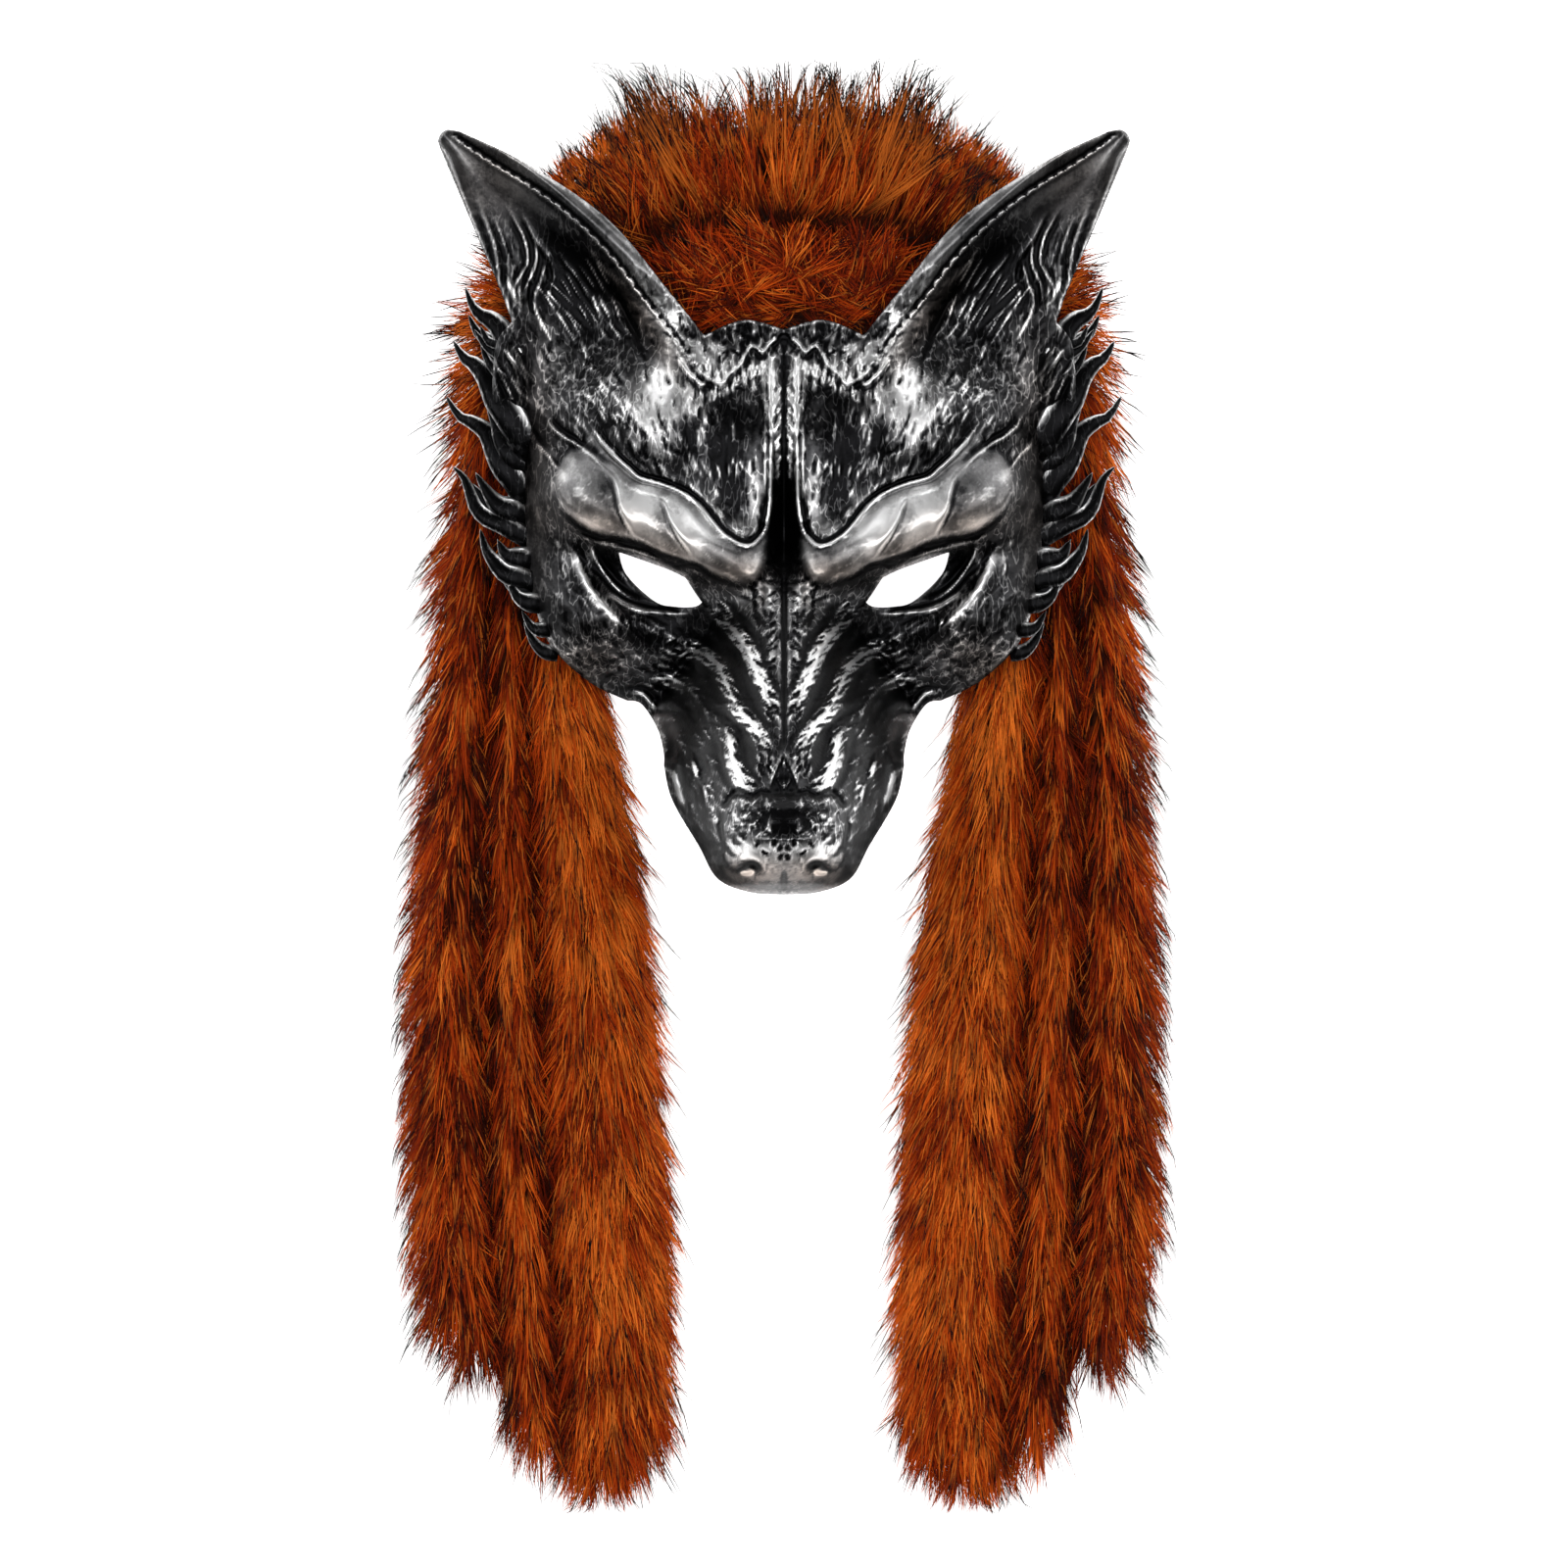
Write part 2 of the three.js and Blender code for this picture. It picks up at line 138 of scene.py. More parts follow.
def soften(values: Array, reach: float) -> Array:
    """Blur a grid of values.

    Args:
        values: A two-dimensional grid.
        reach: Standard deviation of the blur, in grid steps.

    Returns:
        The blurred grid, of the same shape.
    """
    pad = int(3 * reach) + 1
    wide = np.pad(values, pad, mode="edge")
    rows = np.fft.fftfreq(wide.shape[0])[:, None]
    columns = np.fft.rfftfreq(wide.shape[1])[None, :]
    gain = np.exp(-2 * (math.pi * reach) ** 2 * (rows**2 + columns**2))
    blurred = np.fft.irfft2(np.fft.rfft2(wide) * gain, s=wide.shape)
    return blurred[pad:-pad, pad:-pad]


def table(kind: type, *rows: Sequence[float]) -> tuple:
    """One thing of a kind from each row of numbers."""
    return tuple(kind(*row) for row in rows)


def add_object(name: str, data: bpy.types.ID) -> bpy.types.Object:
    """Put a mesh, a light or a camera into the scene."""
    made = bpy.data.objects.new(name, data)
    bpy.context.scene.collection.objects.link(made)
    return made


# The mask's form


@dataclass(frozen=True)
class Swelling:
    """A rounded rise or hollow on an ellipse: place, radii, tilt and height at its centre."""

    x: float
    y: float
    along: float
    across: float
    tilt: float = 0.0
    rise: float = 1.0

    def height(self, side: Array, y: Array) -> Array:
        """Work out what it adds.

        Args:
            side: Distance of each place from the middle line.
            y: Its distance over the eye line.

        Returns:
            Its height at each place.
        """
        dx = side - self.x
        dy = y - self.y
        along = dx * math.cos(self.tilt) + dy * math.sin(self.tilt)
        across = dy * math.cos(self.tilt) - dx * math.sin(self.tilt)
        return self.rise * np.exp(-((along / self.along) ** 2) - (across / self.across) ** 2)


@dataclass(frozen=True)
class EarForm:
    """The scoop of an ear with its raised inner edge."""

    root: Point = (57.0, 80.0)
    tip: Point = (111.0, 148.0)
    medial_width: float = 26.0
    lateral_width: float = 28.0
    least_width: float = 2.5
    scoop: Point = (37.0, 40.0)
    medial_rise: Point = (19.0, 7.0)
    lateral_rise: Point = (7.0, 4.0)
    fold: float = 5.0
    blend: Point = (-0.12, 0.16)
    overrun: float = 1.15

    def place(self, side: Array, y: Array) -> tuple[Array, Array]:
        """Measure places along and across the ear.

        Args:
            side: Distance of each place from the middle line.
            y: Its distance over the eye line.

        Returns:
            Share of the way up its axis, and distance across it, positive towards the forehead.
        """
        length = math.dist(self.root, self.tip)
        axis_x = (self.tip[0] - self.root[0]) / length
        axis_y = (self.tip[1] - self.root[1]) / length
        dx = side - self.root[0]
        dy = y - self.root[1]
        return (dx * axis_x + dy * axis_y) / length, dy * axis_x - dx * axis_y

    def height(self, side: Array, y: Array) -> tuple[Array, Array]:
        """Work out the ear.

        Args:
            side: Distance of each place from the middle line.
            y: Its distance over the eye line.

        Returns:
            Its height, and how much of it applies at each place.
        """
        up, across = self.place(side, y)
        along = np.clip(up, 0.0, 1.0)
        medial = across > 0
        medial_width = self.medial_width * np.sqrt(1 - along**1.4)
        width = np.where(medial, medial_width, self.lateral_width * (1 - along))
        outward = np.minimum(self.overrun, np.abs(across) / np.maximum(self.least_width, width))
        rise = np.where(medial, self.mix(self.medial_rise, along), self.mix(self.lateral_rise, along))
        fold = np.where(medial, self.fold * smoothstep(0.86, 1.05, outward), 0.0)
        return self.mix(self.scoop, along) + rise * outward**2 - fold, smoothstep(*self.blend, up)

    @staticmethod
    def mix(ends: Point, share: Array) -> Array:
        """Value between two ends."""
        return ends[0] + (ends[1] - ends[0]) * share


@dataclass(frozen=True)
class FaceForm:
    """Height of the moulding's front over the floor, before its relief."""

    wall: float = 3.0
    steepest_normal: float = 0.3
    dome_rim: float = 24.0
    dome_rise: float = 42.0
    dome_half_width: float = 97.0
    brow_edge: Triple = (42.0, 92.0, 0.42)
    jaw_edge: Triple = (-2.0, -42.0, 0.75)
    muzzle_blend: float = 7.0
    muzzle_roundness: float = 2.2
    muzzle_top: Path = (
        (90, 30), (60, 34), (30, 46), (12, 62), (0, 74), (-20, 92), (-45, 116),
        (-62, 132), (-72, 142), (-82, 146), (-90, 141), (-96, 128), (-102, 108),
    )
    muzzle_half_width: Path = (
        (90, 14), (12, 16), (0, 24), (-20, 31), (-37, 38), (-58, 39.5), (-77, 33), (-90, 25), (-102, 20),
    )
    muzzle_edge: Path = (
        (90, 20), (0, 34), (-20, 38), (-37, 46), (-56, 66), (-77, 92), (-90, 106), (-102, 100),
    )
    brow_rise: float = 10.0
    brow_spread: float = 9.0
    brow_nose: Point = (2.0, 12.0)
    brow_temple: Point = (70.0, 84.0)
    brow_middle: Triple = (5.0, 0.1, 0.0033)
    ear: EarForm = EarForm()
    face_swellings: tuple[Swelling, ...] = (
        Swelling(63, -16, 17, 13, 0, 7),  # cheek bone
        Swelling(44, 0, 25, 12, 0.5, -15),  # eye socket
        Swelling(44, 55, 14, 18, 0, 6),  # forehead
        Swelling(26, 42, 10, 22, 0, -4),  # hollow of the forehead
    )
    middle_swellings: tuple[Swelling, ...] = (
        Swelling(0, 19, 4.5, 18, 0, -9),  # slot between the brows
        Swelling(0, -64, 7, 5, 0, -4),  # step behind the nose pad
    )

    def front(self, side: Array, y: Array) -> Array:
        """Work out the front of one half.

        Args:
            side: Distance of each place from the middle line.
            y: Its distance over the eye line.

        Returns:
            Its height at each place.
        """
        face = self.dome(side, y) + self.brow(side, y)
        face = face + sum(form.height(side, y) for form in self.face_swellings)
        ridged = smooth_max(face, self.muzzle(side, y), self.muzzle_blend)
        ridged = ridged + sum(form.height(side, y) for form in self.middle_swellings)
        ear_height, share = self.ear.height(side, y)
        return ridged + (ear_height - ridged) * share

    def dome(self, side: Array, y: Array) -> Array:
        """Work out forehead and cheeks: a broad dome that falls to the rim at the temples.

        Args:
            side: Distance of each place from the middle line.
            y: Its distance over the eye line.

        Returns:
            The dome's height at each place.
        """
        round_share = (1 - np.minimum(1, side / self.dome_half_width) ** 2.6) ** 0.75
        height = self.dome_rise * round_share
        for low, high, loss in (self.brow_edge, self.jaw_edge):
            height = height * (1 - loss * smoothstep(low, high, y))
        return self.dome_rim + height

    def muzzle(self, side: Array, y: Array) -> Array:
        """The muzzle: a rounded ridge from between the eyes to the nose."""
        top = along_line(self.muzzle_top, y)
        edge = along_line(self.muzzle_edge, y)
        outward = side / along_line(self.muzzle_half_width, y)
        return top - (top - edge) * outward**self.muzzle_roundness

    def brow(self, side: Array, y: Array) -> Array:
        """The heavy brow over each eye."""
        level, slope, sweep = self.brow_middle
        middle = level + slope * side + sweep * side * side
        along = smoothstep(*self.brow_nose, side) * (1 - smoothstep(*self.brow_temple, side))
        return self.brow_rise * along * bell((y - middle) / self.brow_spread)


OUTLINE_RUNS = (
    ((0, 84), (13, 87), (26, 82)),  # forehead edge
    ((26, 82), (38.4, 97.6), (57.6, 120), (83.2, 137.6), (105.6, 148.5)),  # inner edge of the ear
    ((105.6, 148.5), (110.4, 149), (112.6, 145.6), (110.4, 139.2)),  # ear tip
    ((110.4, 139.2), (100.2, 115.2), (92, 96), (88.6, 86.4)),  # outer edge of the ear
    ((88.6, 86.4), (94, 78), (94.5, 56), (91, 34), (86, 18)),  # temple
    ((86, 18), (82.6, 0), (76.8, -17.6), (64, -30.4), (51.2, -36.8)),  # cheek
    ((51.2, -36.8), (46.4, -38), (41, -46.4), (39, -54), (38.9, -57.8)),  # notch behind the mouth
    ((38.9, -57.8), (36.2, -69), (27.5, -83.8), (21.4, -94.4), (11.2, -98.7), (0, -99.5)),  # lip
)
EYE_RUNS = (
    ((53.8, 11.5), (38.4, 6), (32, 3)),
    ((32, 3), (28.8, -2), (26.6, -5)),
    ((26.6, -5), (29, -6.4), (35, -6.4), (42, -4.6), (51.2, 4), (53.8, 11.5)),
)


def follow_runs(runs: Sequence[Path], steps: int) -> Array:
    """Points along smooth runs, each run starting where the last one ended."""
    parts = [spline(run, steps)[:-1] for run in runs]
    return np.vstack(parts + [np.asarray(runs[-1][-1:], float)])


# The relief, worked out on a grid over one half


class Taper(Enum):
    """Where along its path a stroke thins out."""

    NONE = "even"
    BOTH = "both ends"
    END = "far end"
    START = "near end"

    def share(self, along: Array) -> Array:
        """Share of the stroke's full strength along its path."""
        near = smoothstep(0.0, 0.3, along) if self in (Taper.BOTH, Taper.START) else 1.0
        far = 1 - smoothstep(0.65, 1.0, along) if self in (Taper.BOTH, Taper.END) else 1.0
        return near * far


@dataclass(frozen=True)
class Stroke:
    """A raised or sunk line of the relief.

    The path runs over one half. Offset moves the line to the left of the path's direction. Its silver value
    is what wear has brought out along it together with any highlight painted on it, negative where it stays
    black.
    """

    path: Path
    width: float
    height: float
    rub_and_highlight: float = 0.0
    offset: float = 0.0
    taper: Taper = Taper.BOTH
    steps: int = 6


@dataclass(frozen=True)
class Comb:
    """Direction of the moulded hair around a place: the way the hair runs, as an angle over the x axis."""

    x: float
    y: float
    reach: float
    degrees: float


@dataclass(frozen=True)
class HairPatch:
    """Moulded hairs over a rounded spot; a negative height cuts them in."""

    spot: Swelling
    cover: float  # share of the spot that the hairs take up
    length: Point
    width: float
    height: float
    rub_and_highlight: float
    wander: float

    @property
    def count(self) -> int:
        """Number of hairs that gives the wanted cover."""
        area = math.pi * self.spot.along * self.spot.across
        one = 0.5 * (self.length[0] + self.length[1]) * 1.7 * self.width
        return max(4, int(self.cover * area / one))


@dataclass
class HalfGrid:
    """A square grid over one half of the mask, with what is known at each of its points."""

    step: float
    width: float = 119.0
    low: float = -104.0
    high: float = 154.0

    def __post_init__(self) -> None:
        """Lay out the grid's lines."""
        self.xs = np.arange(0, round(self.width / self.step) + 1) * self.step
        self.ys = self.low + np.arange(0, round((self.high - self.low) / self.step) + 1) * self.step
        self.x, self.y = np.meshgrid(self.xs, self.ys)

    def window(self, low: Array, high: Array) -> tuple[slice, slice]:
        """Find the part of the grid between two corners.

        Args:
            low: The corner with the lower values.
            high: The opposite corner.

        Returns:
            Its rows and its columns.
        """
        spans = []
        for axis, origin in ((1, self.low), (0, 0.0)):
            first = math.floor((low[axis] - origin) / self.step)
            last = math.ceil((high[axis] - origin) / self.step)
            spans.append(slice(max(0, first), max(0, last + 1)))
        return spans[0], spans[1]

    def follow(self, path: Array, reach: float) -> tuple[Array, Array, Array]:
        """Measure from a path to the grid points within reach of it.

        Args:
            path: Points of the path, in order.
            reach: Distance past which nothing is measured.

        Returns:
            The distance, never more than reach; the share of the way along the path; and the side, 1 on its
            left and -1 on its right.
        """
        distance = np.full(self.x.shape, reach, float)
        share = np.zeros(self.x.shape)
        hand = np.ones(self.x.shape)
        steps = np.diff(path, axis=0)
        lengths = np.hypot(steps[:, 0], steps[:, 1])
        starts = np.concatenate([[0], np.cumsum(lengths)])
        for number, (start, step, length) in enumerate(zip(path, steps, lengths)):
            if length < 1e-6:
                continue
            ends = np.stack([start, start + step])
            box = self.window(ends.min(axis=0) - reach, ends.max(axis=0) + reach)
            dx = self.x[box] - start[0]
            dy = self.y[box] - start[1]
            t = np.clip((dx * step[0] + dy * step[1]) / length**2, 0, 1)
            off_x = dx - t * step[0]
            off_y = dy - t * step[1]
            found = np.hypot(off_x, off_y)
            nearer = found < distance[box]
            distance[box] = np.where(nearer, found, distance[box])
            place = (starts[number] + t * length) / starts[-1]
            share[box] = np.where(nearer, place, share[box])
            side = np.where(step[0] * dy - step[1] * dx >= 0, 1.0, -1.0)
            hand[box] = np.where(nearer, side, hand[box])
        return distance, share, hand

    def inside(self, path: Array) -> Array:
        """Find the grid points inside a path.

        Args:
            path: A closed path, or a half outline that the middle line closes.

        Returns:
            Whether each grid point is inside.
        """
        toggles = np.zeros(self.x.shape, int)
        for (x0, y0), (x1, y1) in zip(path, np.roll(path, -1, axis=0)):
            if y0 == y1:
                continue
            rows = np.nonzero((self.ys >= min(y0, y1)) & (self.ys < max(y0, y1)))[0]
            crossings = x0 + (x1 - x0) * (self.ys[rows] - y0) / (y1 - y0)
            for row, crossing in zip(rows, crossings):
                toggles[row, self.xs < crossing] += 1
        return toggles % 2 == 1

    def signed(self, path: Array, reach: float) -> Array:
        """Distance to a closed path, positive inside it."""
        distance, _, _ = self.follow(path, reach)
        return np.where(self.inside(path), distance, -distance)

    def noise(self, rng: Rng, size: float) -> Array:
        """Soft random mottling with spots of about the given size, of mean 0 and spread 1."""
        values = soften(rng.standard_normal(self.x.shape), size / self.step / 2.5)
        return (values - values.mean()) / values.std()


@dataclass
class Relief:
    """Height of a moulded relief over one half of the mask, with its wear and the highlights painted on it.
    """

    grid: HalfGrid
    seed: int

    def __post_init__(self) -> None:
        """Start flat and in dull black."""
        self.rng = np.random.default_rng(self.seed)
        self.height, self.rub_and_highlight, self.warm, self.calm = np.zeros((4, *self.grid.x.shape))

    def draw(self, *strokes: Stroke) -> None:
        """Add strokes to the relief.

        Args:
            strokes: The raised or sunk lines, in order.
        """
        for stroke in strokes:
            reach = abs(stroke.offset) + 3.2 * stroke.width
            distance, share, hand = self.grid.follow(spline(stroke.path, stroke.steps), reach)
            off = distance * hand - stroke.offset
            strength = bell(off / stroke.width) * (distance < reach) * stroke.taper.share(share)
            self.height += stroke.height * strength
            self.rub_and_highlight += stroke.rub_and_highlight * strength

    def feather(
        self, path: Path, spacing: float, length: float, degrees: float,
        width: float, height: float, rub_and_highlight: float, offset: float = 0.0,
    ) -> None:
        """Add short strokes across a path, all slanted the same way off it.

        Args:
            path: Line that the strokes cross.
            spacing: Distance from one stroke to the next.
            length: Usual length of a stroke.
            degrees: Slant off the path's direction.
            width: Half width of a stroke.
            height: Height of a stroke, negative where it is cut in.
            rub_and_highlight: Silver that shows on a stroke.
            offset: How far the strokes lie to the left of the path.
        """
        line = spline(path, 8)
        lengths = np.concatenate([[0], np.cumsum(np.hypot(*np.diff(line, axis=0).T))])
        for place in np.arange(spacing, lengths[-1] - spacing / 2, spacing):
            place += self.rng.uniform(-0.3, 0.3) * spacing
            centre = np.array([np.interp(place, lengths, line[:, axis]) for axis in (0, 1)])
            ahead = np.array([np.interp(place + 1, lengths, line[:, axis]) for axis in (0, 1)]) - centre
            turn = math.atan2(ahead[1], ahead[0])
            centre += offset * np.array([-math.sin(turn), math.cos(turn)])
            turn += math.radians(degrees + self.rng.normal(0, 7))
            half = 0.5 * length * self.rng.uniform(0.7, 1.3) * np.array([math.cos(turn), math.sin(turn)])
            bend = self.rng.normal(0, 0.25) * np.array([-math.sin(turn), math.cos(turn)])
            short = (tuple(centre - half), tuple(centre + bend), tuple(centre + half))
            self.draw(Stroke(short, width, height, rub_and_highlight, 0, Taper.BOTH, 3))

    def raise_region(
        self, path: Path, height: float | Array, edge: float, rub_and_highlight: float = 0.0, calm: float = 0.0
    ) -> None:
        """Raise or sink what lies inside a closed path.

        Args:
            path: Corners of the region.
            height: How far it is raised, also for each grid point.
            edge: Width over which that eases in.
            rub_and_highlight: Silver that shows on it.
            calm: Share by which it stays free of hair strokes.
        """
        outline = spline(list(path) + [path[0]], 6)[:-1]
        depth = self.grid.signed(np.vstack([outline, outline[:1]]), edge)
        share = smoothstep(0.0, edge, depth)
        self.height += height * share
        self.rub_and_highlight += rub_and_highlight * share
        self.calm = np.maximum(self.calm, calm * share)

    def add(self, layer: Array, forms: Iterable[Swelling]) -> None:
        """Add rounded forms to one of the relief's layers: its height, its silver with painted highlights, or
        its warm tone.
        """
        for form in forms:
            layer += form.height(self.grid.x, self.grid.y)

    def flow(self, combs: Sequence[Comb]) -> tuple[Array, Array]:
        """Spread the direction of the moulded hair over the grid.

        Args:
            combs: Places with a known direction.

        Returns:
            The two parts of a unit vector at each grid point.
        """
        east = np.zeros(self.grid.x.shape)
        north = np.zeros(self.grid.x.shape)
        for comb in combs:
            away = ((self.grid.x - comb.x) ** 2 + (self.grid.y - comb.y) ** 2) / comb.reach**2
            weight = 1 / (0.02 + away) ** 2
            east += weight * math.cos(2 * math.radians(comb.degrees))
            north += weight * math.sin(2 * math.radians(comb.degrees))
        angle = 0.5 * np.arctan2(north, east)
        return np.cos(angle), np.sin(angle)

    def brush(self, flow: tuple[Array, Array], size: float, length: float) -> Array:
        """Streaks that follow a flow.

        Args:
            flow: Direction at each grid point.
            size: Width of a streak.
            length: Length of a streak.

        Returns:
            A grid of mean 0 and spread 1.
        """
        grain = self.grid.noise(self.rng, size)
        rows, columns = np.indices(grain.shape).astype(float)
        total = grain.copy()
        count = max(2, int(length / self.grid.step / 2))
        for sense in (1, -1):
            row, column = rows.copy(), columns.copy()
            east, north = flow[0] * sense, flow[1] * sense
            for _ in range(count):
                row = np.clip(row + north, 0, grain.shape[0] - 1)
                column = np.abs(np.clip(column + east, -1e9, grain.shape[1] - 1))
                at = (np.rint(row).astype(int), np.rint(column).astype(int))
                total += grain[at]
                fresh_east, fresh_north = flow[0][at], flow[1][at]
                turn = np.sign(fresh_east * east + fresh_north * north)
                turn[turn == 0] = 1
                east, north = fresh_east * turn, fresh_north * turn
        return (total - total.mean()) / total.std()

    def hairs(
        self, flow: tuple[Array, Array], density: Array, count: int, length: Point, width: float,
        wander: float,
    ) -> Array:
        """Short raised hairs, each tapering to both ends.

        Args:
            flow: Direction at each grid point.
            density: Likelihood of a hair starting at each grid point.
            count: Number of hairs.
            length: Shortest and longest hair.
            width: Half width of a hair at its middle.
            wander: How far a hair turns off the flow, in radians.

        Returns:
            The height of the hairs at each grid point, 1 at the middle of each.
        """
        step = self.grid.step
        rows, columns = self.grid.x.shape
        chance = density.ravel() / density.sum()
        seeds = self.rng.choice(chance.size, count, p=chance)
        row = seeds // columns + self.rng.random(count) - 0.5
        column = seeds % columns + self.rng.random(count) - 0.5
        lengths = self.rng.uniform(*length, count)
        off = self.rng.normal(0, wander, count)
        bend = self.rng.normal(0, wander * 0.5, count)
        pace = 0.8
        made = np.zeros(self.grid.x.shape)
        reach = int(math.ceil(2.0 * width / step)) + 1
        spread = range(-reach, reach + 1)
        east, north = np.ones(count), np.zeros(count)
        total = int(math.ceil(length[1] / (pace * step)))
        for number in range(total):
            at_row = np.clip(np.rint(row).astype(int), 0, rows - 1)
            at_column = np.clip(np.rint(np.abs(column)).astype(int), 0, columns - 1)
            fresh_east, fresh_north = flow[0][at_row, at_column], flow[1][at_row, at_column]
            if number:
                turn = np.where(fresh_east * east + fresh_north * north < 0, -1.0, 1.0)
                fresh_east, fresh_north = fresh_east * turn, fresh_north * turn
            east, north = fresh_east, fresh_north
            share = number * pace * step / lengths
            angle = off + bend * (share - 0.5) * 2
            move_x = east * np.cos(angle) - north * np.sin(angle)
            move_y = north * np.cos(angle) + east * np.sin(angle)
            alive = share < 1
            strength = np.where(alive, np.sin(np.pi * np.clip(share, 0, 1)) ** 0.7, 0)
            for dr in spread:
                for dc in spread:
                    r = at_row + dr
                    c = at_column + dc
                    away = np.hypot(r - row, c - column) * step
                    value = strength * bell(away / width)
                    good = alive & (r >= 0) & (r < rows) & (c >= 0) & (c < columns)
                    np.maximum.at(made, (r[good], c[good]), value[good])
            row = row + move_y * pace
            column = column + move_x * pace
        return made


# Paths of the relief, across from the middle line and up from the eye line

BROW_RIM = (
    (64.2, 54.6), (61, 49.5), (56, 43.5), (50.6, 38.4), (46.7, 35.2), (39.8, 33.3), (34, 31), (29.5, 28.2),
    (26, 24.7), (22.6, 20.2), (19.2, 16.7), (14.7, 13.8), (11.2, 13.2), (8.4, 15), (6.1, 18.4), (4.9, 23.7),
    (4.3, 30.4), (4.1, 48), (4.1, 69),
)
BROW_LOW = (
    (75.2, 33.8), (73.5, 28.2), (70.1, 23), (66, 19.5), (60.4, 16.7), (49, 14.7), (44.4, 12.8), (39.8, 9.9),
    (34, 7.6), (28.4, 7), (23.2, 3.5), (17.5, 1.3), (11.8, 0.7), (7.2, 3), (4.6, 7.7),
)
BROW_BODY = (
    (64, 53), *BROW_RIM[1:15], (4.6, 23.7), (4.2, 14), *BROW_LOW[::-1], (74, 40), (70, 45), (66, 46),
)
BROW_SECOND = ((77.5, 57.5), (76, 53), (72.3, 49.3), (68.4, 47), (64.3, 44.2), (60.4, 40.7), (55.8, 36.2))
BROW_THIRD = ((81.5, 48), (79.8, 45.8), (76.4, 42.4), (74, 39), (71.8, 37.8))
BROW_CREASES = (
    ((59.6, 37.4), (56.6, 34), (55.2, 30.4), (54.1, 24.7), (51.2, 19), (47.8, 14.4)),
    ((40.3, 31), (39.8, 27), (37.5, 20.2), (34, 14.4), (28.6, 7.4)),
)
LOWER_LID = ((64, 16), (62.4, 11.5), (60.4, 7.6), (56.4, 1.9), (51.2, -2.8), (45, -5.8))
OUTER_LID = ((62.5, 7), (60.5, 3.2), (55.8, -2.8), (49, -6.7), (41, -8.2), (31, -8.8), (26, -8.2))
UPPER_LID = ((68, 16.4), (60, 14.4), (51, 11.9), (41.6, 9.3), (32, 6.2), (26, 4))
CHEEK_BONE = ((68, 15), (66.4, 9.5), (63.8, 3.2), (59.2, -4.2), (53, -11.4), (46, -17.5))
FOREHEAD_JAG = (
    (27.5, 71), (25.3, 68.5), (20.5, 66), (18, 69.2), (14.9, 71.7), (12.4, 76), (10.9, 78.4), (8.6, 77.8),
    (7, 76.4), (5, 79), (2.9, 80.8),
)
EAR_HOOK = (
    (34.9, 79), (33.8, 74.6), (31.7, 70.8), (28.8, 67.8), (26, 66), (24.4, 70.8), (25.4, 75.2), (28.6, 78),
)
EAR_CREST = (
    (108.4, 147.4), (103.4, 143.6), (93.8, 137.2), (84.2, 131.4), (73.9, 124.2), (64.3, 116), (54.7, 105.6),
    (46.7, 94.9), (38.7, 85.1), (33, 77.2),
)
EAR_FLAP = ((58, 104), (54.7, 100.1), (50.6, 94.5), (47.5, 88.6), (44.6, 82.3), (42, 75), (40.8, 70))
EAR_HOLLOW = ((79, 92), (71, 97), (63, 101), (57, 103))
EAR_FOOT = ((74, 84), (66, 88), (58, 91), (50, 93))
EAR_CURLS = (
    ((100, 128), (97.6, 121), (94.5, 112.3), (93.2, 104), (91.3, 96.3)),
    ((96, 124), (93, 117), (90, 109), (89.6, 101), (89, 93)),
    ((91, 125), (87.6, 119.6), (84.6, 113.3), (83.6, 105.9), (87.2, 99.2), (87.6, 93.5), (84, 88.6)),
    ((86.6, 124), (83.2, 117.6), (81, 111.3), (81, 105.1), (83.8, 98.2), (83.6, 91.7)),
    ((83, 118), (80.2, 113), (77.9, 107), (79.2, 100.6), (81.2, 94.2), (79.8, 87.6)),
    ((79, 113), (76.4, 107), (75, 101), (77, 94.5), (77.4, 88)),
)
SNARL_ONE = ((22.5, -5), (19.4, -10.4), (15.2, -15.6), (11.7, -20.8), (8, -30.4), (4.4, -38.7), (2.6, -44))
SNARL_TWO = (
    (38.5, -19), (34.6, -19.8), (30, -20.4), (25.4, -22), (21.4, -26), (19.2, -30.4), (14.8, -39.8),
    (9.4, -46), (7, -50.5), (6, -55.4), (6.4, -61.4),
)
SNARL_THREE = ((19.6, -44), (17.6, -50.4), (15.9, -57.6), (12.9, -63.9), (10, -68))
SNARL_FOUR = ((30, -52), (28.6, -60), (25.6, -66.5), (25, -73))
SNARL_FIVE = ((42, -27), (36, -30), (30, -34), (25.4, -41), (23, -49))
MUZZLE_HOLLOW = ((33, -47), (26, -58), (27.4, -68), (23.4, -80))
LIP_HOLLOW = ((39, -42), (35.8, -51), (37.4, -58.5))
LIP_CURL = ((38.2, -58.6), (35.6, -60.4), (34.6, -64), (33.4, -68.4), (31, -73.2))
NOTCH_CURL = ((51.5, -34.4), (46.4, -34.6), (42.8, -38.6), (40.8, -43))
NOSE_EDGE = ((18.4, -70), (15.4, -66.6), (11, -68), (7.4, -66.2), (4, -67.4), (0, -66.6))
NOSE_WING = ((18.2, -70.4), (19.4, -77), (18.4, -84), (19.6, -90), (17, -95))
NOSTRIL = ((15.8, -93.2), (13.6, -91), (11, -89.6), (8.6, -90.4), (7.9, -93.4))
NOSTRIL_RIM = ((17.4, -91.6), (14.6, -88.6), (11, -87.2), (7.6, -88.4), (5.9, -92), (7, -95.6))
NOSE_CRESCENT = ((14.6, -91.6), (12.6, -92.6), (10.4, -92.4), (9.2, -91.4))
LEAF = ((0, -57.4), (1.5, -60), (1.9, -62), (1.1, -64), (0, -64.8))
TRIANGLE = ((0, -52.6), (2.4, -58.6), (5.2, -65.4))

